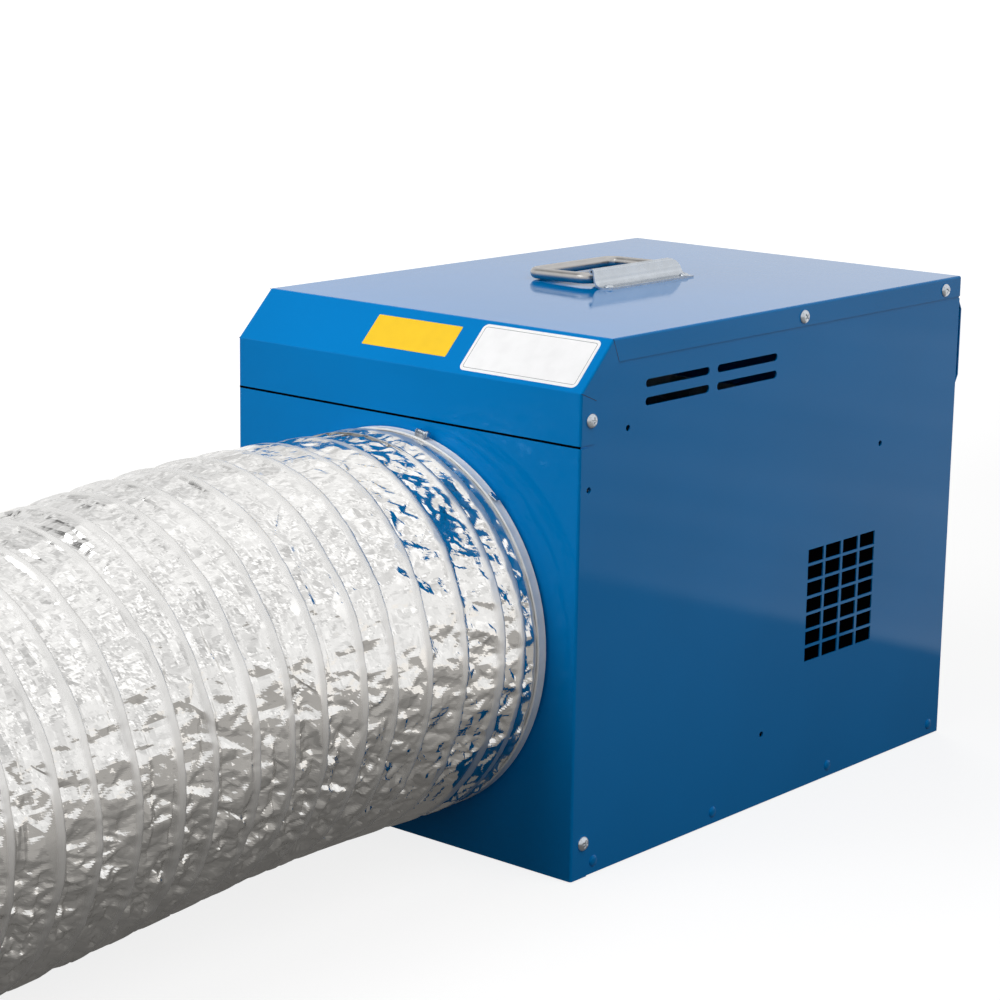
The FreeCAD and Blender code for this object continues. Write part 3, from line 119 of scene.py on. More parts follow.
class Graph:
    """Node tree of a material or of the surroundings, with short ways to add to it."""

    def __init__(self, owner: bpy.types.ID, coordinates: str = "Object") -> None:
        """Start from the owner's own nodes and one kind of coordinates."""
        owner.use_nodes = True
        self.owner = owner
        self.tree = owner.node_tree
        self.shader = self.tree.nodes.get("Principled BSDF")
        self.place = self.add("ShaderNodeTexCoord").outputs[coordinates]

    def add(self, kind: str, inputs: dict[str | int, object] | None = None,
            **settings: object) -> bpy.types.Node:
        """Add a node.

        Args:
            kind: The node's type name.
            inputs: For each input, a socket to join or a value to set.
            **settings: Properties to set on it first.

        Returns:
            The node.
        """
        node = self.tree.nodes.new(kind)
        for name, value in settings.items():
            setattr(node, name, value)
        for name, value in (inputs or {}).items():
            if isinstance(value, Socket):
                self.link(value, node.inputs[name])
            else:
                node.inputs[name].default_value = value
        return node

    def link(self, source: Socket, target: Socket) -> None:
        """Join two sockets."""
        self.tree.links.new(source, target)

    def drive(self, socket: str, source: Socket) -> None:
        """Let a value set one of the shader's sockets."""
        self.link(source, self.shader.inputs[socket])

    def stretched(self, stretch: Triple) -> Socket:
        """Coordinates scaled along each axis."""
        return self.add("ShaderNodeMapping", {"Scale": stretch, "Vector": self.place}).outputs["Vector"]

    def noise(self, scale: float, detail: float = 2.0, stretch: Triple = (1, 1, 1)) -> Socket:
        """Cloudy noise of so many features per metre and octaves, scaled along each axis."""
        inputs = {"Scale": scale, "Detail": detail, "Vector": self.stretched(stretch)}
        return self.add("ShaderNodeTexNoise", inputs).outputs["Fac"]

    def cells(self, scale: float, output: str = "Distance", feature: str = "F1",
              stretch: Triple = (1, 1, 1)) -> Socket:
        """One output of a cellular pattern of so many cells per metre, scaled along each axis."""
        inputs = {"Scale": scale, "Vector": self.stretched(stretch)}
        return self.add("ShaderNodeTexVoronoi", inputs, feature=feature).outputs[output]

    def bands(self, scale: float, axis: str, distortion: float = 0.0) -> Socket:
        """Straight bands across an axis."""
        inputs = {"Scale": scale, "Distortion": distortion, "Vector": self.place}
        return self.add("ShaderNodeTexWave", inputs, bands_direction=axis).outputs["Fac"]

    def span(self, source: Socket, low: float, high: float, start: float = 0.0, end: float = 1.0) -> Socket:
        """Value that goes from low to high while the source goes from start to end."""
        inputs = {"From Min": start, "From Max": end, "To Min": low, "To Max": high, "Value": source}
        return self.add("ShaderNodeMapRange", inputs).outputs["Result"]

    def tint(self, source: Socket, low: Colour, high: Colour, start: float = 0.0, end: float = 1.0) -> Socket:
        """Colour between two by a value.

        Args:
            source: The value.
            low: Colour at start.
            high: Colour at end.
            start: Value that gives the first colour.
            end: Value that gives the second colour.

        Returns:
            The colour.
        """
        node = self.add("ShaderNodeValToRGB", {"Fac": source})
        first, last = node.color_ramp.elements
        first.position, last.position = start, end
        first.color, last.color = (*low, 1.0), (*high, 1.0)
        return node.outputs["Color"]

    def math(self, operation: str, first: Socket, second: Socket) -> Socket:
        """Result of an operation on two values."""
        return self.add("ShaderNodeMath", {0: first, 1: second}, operation=operation).outputs["Value"]

    def mix(self, share: Socket, first: Socket | float, second: Socket | float) -> Socket:
        """Value between two by a share from 0 to 1."""
        inputs = {"Factor": share, "A": first, "B": second}
        return self.add("ShaderNodeMix", inputs, data_type="FLOAT").outputs["Result"]

    def mixed(self, share: Socket, first: Socket, second: Socket) -> Socket:
        """Shader between two by a share from 0 to 1."""
        return self.add("ShaderNodeMixShader", {"Fac": share, 1: first, 2: second}).outputs["Shader"]

    def bump(self, height: Socket, strength: float, distance: float) -> None:
        """Raise the surface by a height, on top of earlier bumps."""
        node = self.add("ShaderNodeBump", {"Strength": strength, "Distance": distance, "Height": height})
        normal = self.shader.inputs["Normal"]
        if normal.is_linked:
            self.link(normal.links[0].from_socket, node.inputs["Normal"])
        self.link(node.outputs["Normal"], normal)


@dataclass(frozen=True)
class Finish:
    """A surface finish: its constant sockets, and the texture that a kind of finish adds."""

    name: str
    colour: Colour
    roughness: float
    metallic: float = 0.0
    ior: float = 1.45

    def build(self) -> bpy.types.Material:
        """Make the material.

        Returns:
            The finished material.
        """
        graph = Graph(bpy.data.materials.new(self.name))
        sockets = graph.shader.inputs
        sockets["Base Color"].default_value = (*self.colour, 1.0)
        for name, value in (("Roughness", self.roughness), ("Metallic", self.metallic), ("IOR", self.ior)):
            sockets[name].default_value = value
        self.texture(graph)
        return graph.owner

    def texture(self, graph: Graph) -> None:
        """Add the finish's own texture."""

    def shade(self, factor: float) -> Colour:
        """The colour, lighter or darker by a factor."""
        return tuple(min(1.0, value * factor) for value in self.colour)

    def tone(self, graph: Graph, source: Socket, factors: Pair, ends: Pair = CLOUD) -> None:
        """Let a value vary the colour by two factors, one at each end of its span."""
        graph.drive("Base Color", graph.tint(source, *(self.shade(f) for f in factors), *ends))

    def gloss(self, graph: Graph, source: Socket, factors: Pair, ends: Pair = CLOUD) -> None:
        """Let a value vary the roughness by two factors, one at each end of its span."""
        graph.drive("Roughness", graph.span(source, *(self.roughness * f for f in factors), *ends))


@dataclass(frozen=True)
class Paint(Finish):
    """Sprayed enamel with a fine orange peel and a slow drift of gloss."""

    peel_scale: float = 620.0
    peel_depth: float = 0.00003
    gloss_tint: Colour = (1.0, 1.0, 1.0)

    def texture(self, graph: Graph) -> None:
        """Add drift of tone and gloss, and the peel."""
        graph.shader.inputs["Specular Tint"].default_value = (*self.gloss_tint, 1.0)
        self.tone(graph, graph.noise(5.0, 3.0), (0.94, 1.05))
        self.gloss(graph, graph.noise(38.0, 4.0), (0.8, 1.3))
        graph.bump(graph.noise(self.peel_scale, 1.5), 0.6, self.peel_depth)
        graph.bump(graph.noise(self.peel_scale / 14, 1.0), 0.5, self.peel_depth * 2)


@dataclass(frozen=True)
class Plated(Finish):
    """Plated, drawn or coated metal with fine lines one way and a cloudy bloom."""

    grain: Triple = (1.0, 1.0, 1.0)
    grain_depth: float = 0.00002

    def texture(self, graph: Graph) -> None:
        """Add bloom, scratches and pits."""
        bloom = graph.noise(90.0, 5.0)
        self.tone(graph, bloom, (0.92, 1.04))
        self.gloss(graph, bloom, (0.85, 1.2))
        graph.bump(graph.noise(420.0, 3.0, self.grain), 0.5, self.grain_depth)
        graph.bump(graph.noise(2600.0, 1.0), 0.3, self.grain_depth * 0.5)


@dataclass(frozen=True)
class Spangled(Finish):
    """Hot-dip galvanised sheet with crystal spangle."""

    spangle: float = 85.0

    def texture(self, graph: Graph) -> None:
        """Add the crystals' tone and gloss."""
        crystal = graph.cells(self.spangle, "Color")
        self.tone(graph, crystal, (0.78, 1.12), (0.2, 0.8))
        self.gloss(graph, crystal, (0.7, 1.4), WHOLE)
        graph.bump(graph.noise(300.0, 3.0), 0.3, 0.00004)


@dataclass(frozen=True)
class Cast(Finish):
    """As-cast metal with a granular skin."""

    def texture(self, graph: Graph) -> None:
        """Add grains and stains."""
        stain = graph.noise(30.0, 5.0)
        self.tone(graph, stain, (0.75, 1.08), (0.3, 0.75))
        self.gloss(graph, stain, (0.85, 1.2), WHOLE)
        graph.bump(graph.noise(900.0, 4.0), 0.6, 0.00012)


@dataclass(frozen=True)
class HeatTinted(Finish):
    """Alloy sheath browned and blued by heat."""

    blued: Colour = (0.05, 0.06, 0.09)

    def texture(self, graph: Graph) -> None:
        """Add the tint and oxide grains."""
        heat = graph.noise(14.0, 4.0)
        graph.drive("Base Color", graph.tint(heat, self.blued, self.shade(1.1), 0.35, 0.65))
        self.gloss(graph, heat, (0.7, 1.3), WHOLE)
        graph.bump(graph.noise(1400.0, 2.0), 0.4, 0.00004)


@dataclass(frozen=True)
class Laminated(Finish):
    """Stacked or turned metal with fine bands across one axis."""

    axis: str = "Y"
    pitch: float = 320.0
    depth: float = 0.00012

    def texture(self, graph: Graph) -> None:
        """Add the bands."""
        lines = graph.bands(self.pitch, self.axis, 0.6)
        self.tone(graph, lines, (0.7, 1.1), WHOLE)
        self.gloss(graph, graph.noise(60.0, 3.0), (0.8, 1.25), WHOLE)
        graph.bump(lines, 0.5, self.depth)


@dataclass(frozen=True)
class Moulded(Finish):
    """Moulded plastic with a fine spark texture."""

    grain: float = 1700.0
    grain_depth: float = 0.00006

    def texture(self, graph: Graph) -> None:
        """Add the grain and a slight unevenness of gloss."""
        cloud = graph.noise(45.0, 3.0)
        self.tone(graph, cloud, (0.85, 1.2))
        self.gloss(graph, cloud, (0.85, 1.15))
        graph.bump(graph.noise(self.grain, 2.0), 0.5, self.grain_depth)


@dataclass(frozen=True)
class Lens(Finish):
    """Tinted lamp lens that lets light in, with small prisms inside."""

    clearness: float = 0.45

    def texture(self, graph: Graph) -> None:
        """Add clearness and the prisms."""
        graph.shader.inputs["Transmission Weight"].default_value = self.clearness
        self.tone(graph, graph.noise(160.0), (0.8, 1.15))
        graph.bump(graph.cells(900.0), 0.4, 0.0002)


@dataclass(frozen=True)
class Vinyl(Finish):
    """Printed film with a faint stipple."""

    def texture(self, graph: Graph) -> None:
        """Add the stipple."""
        self.tone(graph, graph.noise(70.0, 4.0), (0.95, 1.02))
        graph.bump(graph.noise(900.0, 2.0), 0.3, 0.00002)


@dataclass(frozen=True)
class Foil(Finish):
    """Crinkled aluminium laminate: satin film over the wire and bright metal between."""

    band_roughness: float = 0.4
    band_metallic: float = 0.78
    crease_depth: float = 0.00012
    crease_stretch: Triple = (1.0, 0.6, 1.0)
    crease_sizes: tuple[Pair, ...] = ((105.0, 1.0), (230.0, 0.4))

    def texture(self, graph: Graph) -> None:
        """Add satin bands and small creases, which fade over the wire."""
        band = graph.add("ShaderNodeAttribute", attribute_name="band").outputs["Fac"]
        cloud = graph.noise(55.0, 4.0)
        self.tone(graph, cloud, (0.92, 1.04))
        bright = graph.span(cloud, self.roughness * 0.6, self.roughness * 1.5, *CLOUD)
        graph.drive("Roughness", graph.mix(band, bright, self.band_roughness))
        graph.drive("Metallic", graph.span(band, 1.0, self.band_metallic))
        for scale, share in self.crease_sizes:
            crease = graph.cells(scale, "Distance", "DISTANCE_TO_EDGE", self.crease_stretch)
            between = graph.math("MULTIPLY", crease, graph.span(band, 1.0, 0.05))
            graph.bump(between, 0.6, self.crease_depth * share)


BLUE = srgb(0, 126, 200)
FINISHES: dict[Slot, Finish] = {
    Slot.PAINT: Paint("blue_paint", BLUE, 0.055, ior=1.31, gloss_tint=(0.06, 0.46, 1.0)),
    Slot.ZINC: Plated("zinc_plate", srgb(192, 198, 205), 0.26, 1.0, grain_depth=0.000008),
    Slot.STEEL: Plated("satin_steel", srgb(184, 182, 180), 0.34, 1.0, grain=(1.0, 0.08, 1.0)),
    Slot.GALVANISED: Spangled("galvanised", srgb(186, 190, 194), 0.36, 1.0),
    Slot.FOIL: Foil("foil", srgb(226, 225, 223), 0.085, 1.0),
    Slot.SHEATH: HeatTinted("element_sheath", srgb(118, 98, 84), 0.42, 0.9),
    Slot.ALLOY: Cast("fan_alloy", srgb(176, 178, 180), 0.42, 1.0),
    Slot.MOTOR: Paint("motor_enamel", srgb(62, 66, 70), 0.34, peel_scale=380.0, peel_depth=0.00008),
    Slot.CORE: Laminated("iron_core", srgb(96, 94, 96), 0.4, 0.9),
    Slot.BLACK: Moulded("black_plastic", srgb(30, 30, 32), 0.42),
    Slot.BRASS: Laminated("turned_brass", srgb(198, 164, 98), 0.24, 1.0, pitch=900.0, depth=0.00004),
    Slot.RED: Moulded("red_plastic", srgb(176, 24, 22), 0.26, grain=900.0, grain_depth=0.00002),
    Slot.AMBER: Lens("amber_lens", srgb(240, 150, 26), 0.12, ior=1.49),
}
YELLOW_FILM = Vinyl("yellow_film", srgb(255, 208, 36), 0.32)
WHITE_FILM = Vinyl("white_film", srgb(250, 250, 251), 0.32)
GREY_INK = Vinyl("grey_ink", srgb(150, 154, 158), 0.4)
WHITE_INK = Vinyl("white_ink", srgb(232, 234, 236), 0.45)
# Painted shade of the slits at the lid's folded corners.
SEAM_SHADE = Vinyl("seam_shade", srgb(6, 30, 62), 0.6)
# Near-black foam without gloss, which is also painted shade: in the front joint and behind the side grilles.
FOAM_AND_SHADE = Moulded("black_foam_and_shade", srgb(2, 3, 5), 0.95, ior=1.02, grain=420.0, grain_depth=0.0006)
CLIP_STRAP = Plated("clip_strap", srgb(236, 236, 235), 0.4, 0.1, grain=(0.1, 1.0, 0.1))


class Workshop:
    """Makes each finish once and hands out its material."""

    def __init__(self) -> None:
        """Start with no material made."""
        self.made: dict[str, bpy.types.Material] = {}

    def material(self, finish: Finish) -> bpy.types.Material:
        """Material of a finish, made on first use."""
        if finish.name not in self.made:
            self.made[finish.name] = finish.build()
        return self.made[finish.name]

    def of(self, slot: Slot) -> bpy.types.Material:
        """Material of a record slot."""
        return self.material(FINISHES[slot])


SHOP = Workshop()


@dataclass
class Shape:
    """Points and faces that grow piece by piece into one mesh."""

    points: list[Triple] = field(default_factory=list)
    faces: Faces = field(default_factory=list)
    finish_of: list[int] = field(default_factory=list)

    def add(self, points: np.ndarray, faces: Faces, finish: int = 0) -> None:
        """Append a patch.

        Args:
            points: Its points, one row each.
            faces: Its faces, by numbers of its own points.
            finish: Number of its material.
        """
        base = len(self.points)
        self.points.extend(map(tuple, np.asarray(points, float)))
        self.faces.extend(tuple(base + i for i in face) for face in faces)
        self.finish_of.extend([finish] * len(faces))

    def object(self, name: str, materials: list[bpy.types.Material],
               flat_angle: float = 40.0) -> bpy.types.Object:
        """Make the mesh object.

        Args:
            name: Its name.
            materials: Its materials, in order.
            flat_angle: Edges sharper than this, in degrees, stay sharp.

        Returns:
            The object, in the scene.
        """
        mesh = bpy.data.meshes.new(name)
        mesh.from_pydata(self.points, [], self.faces)
        for material in materials:
            mesh.materials.append(material)
        mesh.polygons.foreach_set("material_index", self.finish_of)
        mesh.polygons.foreach_set("use_smooth", [True] * len(self.faces))
        mesh.set_sharp_from_angle(angle=math.radians(flat_angle))
        mesh.validate()
        made = bpy.data.objects.new(name, mesh)
        bpy.context.scene.collection.objects.link(made)
        return made


def ring_faces(rows: int, columns: int, closed_rows: bool = False) -> Faces:
    """Faces of a grid that closes round its columns.

    Args:
        rows: Rings of points.
        columns: Points in each ring.
        closed_rows: Whether the last ring joins the first.

    Returns:
        Four-cornered faces.
    """
    last = rows if closed_rows else rows - 1
    return [
        (r * columns + c, r * columns + (c + 1) % columns,
         (r + 1) % rows * columns + (c + 1) % columns, (r + 1) % rows * columns + c)
        for r in range(last)
        for c in range(columns)
    ]


def flipped(faces: Faces) -> Faces:
    """Faces turned to look the other way."""
    return [face[::-1] for face in faces]


def circle(columns: int) -> np.ndarray:
    """Angles of points evenly round a circle."""
    return np.linspace(0, 2 * math.pi, columns, endpoint=False)


def ring(radius: float | np.ndarray, angles: np.ndarray, height: float | np.ndarray) -> np.ndarray:
    """Points round +Z, whose radius and height may vary round it."""
    level = np.broadcast_to(height, angles.shape)
    return np.column_stack((radius * np.cos(angles), radius * np.sin(angles), level))


def turned(profile: list[Pair], columns: int) -> Patch:
    """Solid of revolution about +Z.

    Args:
        profile: (radius, height) points from the bottom's middle to the top's middle.
        columns: Points round it.

    Returns:
        Its points and faces.
    """
    angles = circle(columns)
    rings = [ring(r, angles, h) for r, h in profile]
    top = (len(profile) - 1) * columns
    ends = [tuple(range(columns))[::-1], tuple(range(top, top + columns))]
    return np.concatenate(rings), ring_faces(len(profile), columns) + ends


def block(size: Triple, chamfer: float) -> Patch:
    """Block on the plane z 0 with chamfered upper edges.

    Args:
        size: Its length along X, Y and Z.
        chamfer: Width of the chamfer.

    Returns:
        Points and faces.
    """
    loops = []
    for inset, level in ((0.0, 0.0), (0.0, size[2] - chamfer), (chamfer, size[2])):
        x, y = size[0] / 2 - inset, size[1] / 2 - inset
        loops.append([(-x, -y, level), (x, -y, level), (x, y, level), (-x, y, level)])
    return np.concatenate(loops), ring_faces(3, 4) + [(3, 2, 1, 0), (8, 9, 10, 11)]


def on_rear(across: float, back: float, height: float) -> Matrix:
    """Placement on the rear: X to a viewer's right, Y up and Z outward."""
    return Matrix(((-1, 0, 0, across), (0, 0, 1, back), (0, 1, 0, height), (0, 0, 0, 1)))


def toward(direction: Vector, spot: Vector) -> Matrix:
    """Placement that turns +Z to a direction at a spot."""
    return Matrix.Translation(spot) @ Vector((0, 0, 1)).rotation_difference(direction).to_matrix().to_4x4()


def moved(points: np.ndarray, matrix: Matrix) -> np.ndarray:
    """Points under a placement."""
    turn = np.array(matrix)
    return points @ turn[:3, :3].T + turn[:3, 3]


def solids_of(node: str, reach: float) -> list[tuple[Vector, Vector]]:
    """Boxes of the small solids that share a node.

    Args:
        node: The node's name.
        reach: Distance in metres that no solid exceeds and no two solids come near.

    Returns:
        Lowest and highest corner of each solid.
    """
    left = np.array([v.co for v in frame["nodes"][node].data.vertices], float)
    boxes = []
    while len(left):
        near = np.linalg.norm(left - left[0], axis=1) < reach
        boxes.append((Vector(left[near].min(0)), Vector(left[near].max(0))))
        left = left[~near]
    return boxes


def settle(piece: bpy.types.Object, body: Body,
           nodes: tuple[str, ...] = ()) -> None:
    """Fix a piece to its body, hide the nodes that it stands for, and log it.

    Args:
        piece: The piece, in place.
        body: Body that carries it.
        nodes: Nodes that it replaces.
    """
    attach(piece, body.value)
    if nodes:
        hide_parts(*nodes)
    LOG.info("%s: %d faces on %s", piece.name, len(piece.data.polygons), body.value)


@dataclass
class Construction:
    """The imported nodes, each given the finish of its record slot."""

    def dress(self) -> None:
        """Put a material on every node."""
        for row in frame["record"]["subparts"]:
            node = frame["nodes"][row["node"]]
            node.data.materials.clear()
            node.data.materials.append(SHOP.of(Slot(row["material_slot"])))
        LOG.info("dressed %d nodes", len(frame["nodes"]))


@dataclass(frozen=True)
class Softbox:
    """A square soft light that hangs at a spot and faces a point."""

    name: str
    spot: Triple
    aim: Triple
    side: float
    power: float
    in_gloss: bool = False

    def hang(self) -> None:
        """Add the light to the scene, unseen by the camera."""
        data = bpy.data.lights.new(self.name, "AREA")
        data.shape = "RECTANGLE"
        data.size = data.size_y = self.side
        data.energy = self.power
        light = bpy.data.objects.new(self.name, data)
        light.location = self.spot
        light.rotation_euler = (Vector(self.aim) - Vector(self.spot)).to_track_quat("-Z", "Y").to_euler()
        light.visible_camera = False
        light.visible_glossy = self.in_gloss
        bpy.context.scene.collection.objects.link(light)


@dataclass(frozen=True)
class Sky:
    """Unevenness of the surroundings: a cloudy noise and the levels that it gives."""

    scale: float
    detail: float
    levels: Pair
    core: Pair = (0.36, 0.64)

    def level(self, graph: Graph) -> Socket:
        """Level in each direction."""
        return graph.span(graph.noise(self.scale, self.detail), *self.levels, *self.core)


@dataclass(frozen=True)
class SkyPatch:
    """A round part of the surroundings that is brighter or darker, between two cosines from its heading."""

    heading: Triple
    ends: Pair
    factor: float

    def level(self, graph: Graph) -> Socket:
        """Factor in each direction."""
        near = graph.add("ShaderNodeVectorMath", {0: graph.place, 1: self.heading}, operation="DOT_PRODUCT")
        return graph.span(near.outputs["Value"], 1.0, self.factor, *self.ends)


@dataclass
class Studio:
    """Camera, soft lights and a pale floor."""

    azimuth: float = 40.351
    elevation: float = 12.656
    roll: float = 0.931
    eye: Triple = (1.42002, -1.81597, 0.74674)
    focal_pixels: float = 2720.58
    picture: float = 1000.0
    sensor: float = 36.0
    clip: Pair = (0.05, 200.0)
    floor_reach: float = 40.0
    floor_glow: float = 1.14
    floor_pale: Colour = (0.9, 0.9, 0.9)
    floor_dull: Colour = (0.05, 0.05, 0.05)
    floor_narrowing: Triple = (1.0, 0.12, 1.0)
    glow_share: Pair = (0.72, 1.0)
    glow_reach: Pair = (0.4, 1.6)
    mirrored_floor: Colour = (0.5, 0.485, 0.465)
    # Levels of the floor's glow in reflections, from near the object to far: a painted shadow.
    mirrored_shadow: Pair = (0.28, 1.0)
    mirrored_reach: Pair = (0.12, 0.6)
    mirrored_edge: Pair = (0.485, 0.515)
    mirrored_wall: Pair = (2.064, 2.64)
    streaks: Triple = (0.4, 2.4, 1.0)
    world_level: float = 0.2
    overhead: Pair = (0.28, 0.5)
    calm: Sky = Sky(2.6, 1.0, (0.88, 1.08))
    lively: Sky = Sky(3.4, 3.0, (0.66, 1.3))
    dark_corner: SkyPatch = SkyPatch((-0.632, -0.219, 0.743), (0.94, 0.985), 0.2)
    bright_patch: SkyPatch = SkyPatch((0.55, 0.5, 0.67), (0.68, 0.97), 1.24)
    lights: tuple[Softbox, ...] = (
        Softbox("key", (-0.35, -1.15, 1.25), (0.0, -0.2, 0.35), 1.3, 12.6),
        Softbox("sparkle", (-0.3, -1.05, 1.35), (0.0, -0.3, 0.35), 0.4, 2.4, in_gloss=True),
        Softbox("side", (1.33, -0.24, 1.28), (0.0, 0.0, 0.25), 1.9, 12.0),
        Softbox("rear", (-1.5, 1.5, 1.1), (0.0, 0.0, 0.25), 1.3, 13.0),
    )

    def camera(self) -> None:
        """Place the camera at the photograph's view."""
        a, e, r = (math.radians(x) for x in (self.azimuth, self.elevation, self.roll))
        back = Vector((math.sin(a) * math.cos(e), -math.cos(a) * math.cos(e), math.sin(e)))
        right = Vector((math.cos(a), math.sin(a), 0.0))
        up = back.cross(right)
        side = right * math.cos(r) + up * math.sin(r)
        rise = up * math.cos(r) - right * math.sin(r)
        data = bpy.data.cameras.new("camera")
        data.sensor_width = self.sensor
        data.lens = self.focal_pixels / self.picture * self.sensor
        data.clip_start, data.clip_end = self.clip
        camera = bpy.data.objects.new("camera", data)
        turn = Matrix((side, rise, back)).transposed().to_4x4()
        camera.matrix_world = Matrix.Translation(Vector(self.eye)) @ turn
        bpy.context.scene.collection.objects.link(camera)
        bpy.context.scene.camera = camera

    def world(self) -> None:
        """White surroundings for the eye, uneven ones for gloss, at a lower level as light."""
        world = bpy.data.worlds.new("surroundings")
        graph = Graph(world, "Generated")
        height = graph.add("ShaderNodeSeparateXYZ", {"Vector": graph.place}).outputs["Z"]
        overhead = graph.span(height, 0.0, 1.0, *self.overhead)
        gloss = graph.mix(overhead, self.calm.level(graph), self.lively.level(graph))
        for patch in (self.dark_corner, self.bright_patch):
            gloss = graph.math("MULTIPLY", gloss, patch.level(graph))
        path = graph.add("ShaderNodeLightPath").outputs
        lit = graph.mix(path["Is Glossy Ray"], self.world_level, gloss)
        clear = graph.math("MAXIMUM", path["Is Camera Ray"], path["Is Transmission Ray"])
        ground = graph.tree.nodes["Background"]
        ground.inputs["Color"].default_value = (1.0, 1.0, 1.0, 1.0)
        graph.link(graph.math("MAXIMUM", clear, lit), ground.inputs["Strength"])
        bpy.context.scene.world = world

    def floor(self) -> None:
        """Pale floor: white to the eye but for a soft shadow; in reflections a glow with a painted shadow
        near the object, brighter and streaked beyond an edge.
        """
        half = self.floor_reach / 2
        shape = Shape()
        corners = [(-half, -half, -MM), (half, -half, -MM), (half, half, -MM), (-half, half, -MM)]
        shape.add(corners, [(0, 1, 2, 3)])
        graph = Graph(bpy.data.materials.new("floor"))
        narrowed = graph.stretched(self.floor_narrowing)
        distance = graph.add("ShaderNodeVectorMath", {0: narrowed}, operation="LENGTH").outputs["Value"]
        back = graph.add("ShaderNodeSeparateXYZ", {"Vector": graph.place}).outputs["Y"]
        # Painted shadow in the floor's reflected glow: darker near the object.
        near = graph.span(distance, *self.mirrored_shadow, *self.mirrored_reach)
        wall = graph.span(graph.noise(2.2, 2.0, self.streaks), *self.mirrored_wall, 0.35, 0.65)
        strength = graph.mix(graph.span(back, 0.0, 1.0, *self.mirrored_edge), near, wall)
        pale, dull = (
            graph.add("ShaderNodeBsdfDiffuse", {"Color": (*colour, 1.0)}).outputs["BSDF"]
            for colour in (self.floor_pale, self.floor_dull)
        )
        glow, mirrored = (
            graph.add("ShaderNodeEmission", {"Color": (*colour, 1.0), "Strength": level}).outputs["Emission"]
            for colour, level in (((1.0, 1.0, 1.0), self.floor_glow), (self.mirrored_floor, strength))
        )
        path = graph.add("ShaderNodeLightPath").outputs
        seen = graph.mixed(graph.span(distance, *self.glow_share, *self.glow_reach), pale, glow)
        other = graph.mixed(path["Is Glossy Ray"], dull, mirrored)
        surface = graph.mixed(path["Is Camera Ray"], other, seen)
        graph.link(surface, graph.tree.nodes["Material Output"].inputs["Surface"])
        graph.tree.nodes.remove(graph.shader)
        shape.object("floor", [graph.owner])

    def build(self) -> None:
        """Set up the whole studio."""
        bpy.context.scene.view_settings.view_transform = "Standard"
        self.camera()
        self.world()
        self.floor()
        for light in self.lights:
            light.hang()
        LOG.info("studio ready")


@dataclass(frozen=True)
class Crumple:
    """A layer of crumpled foil: size of its triangles along and round the duct, lean, and height in mm."""

    cell: Pair
    lean: float
    height: float
    crushed: float = 0.0
    far_only: bool = False


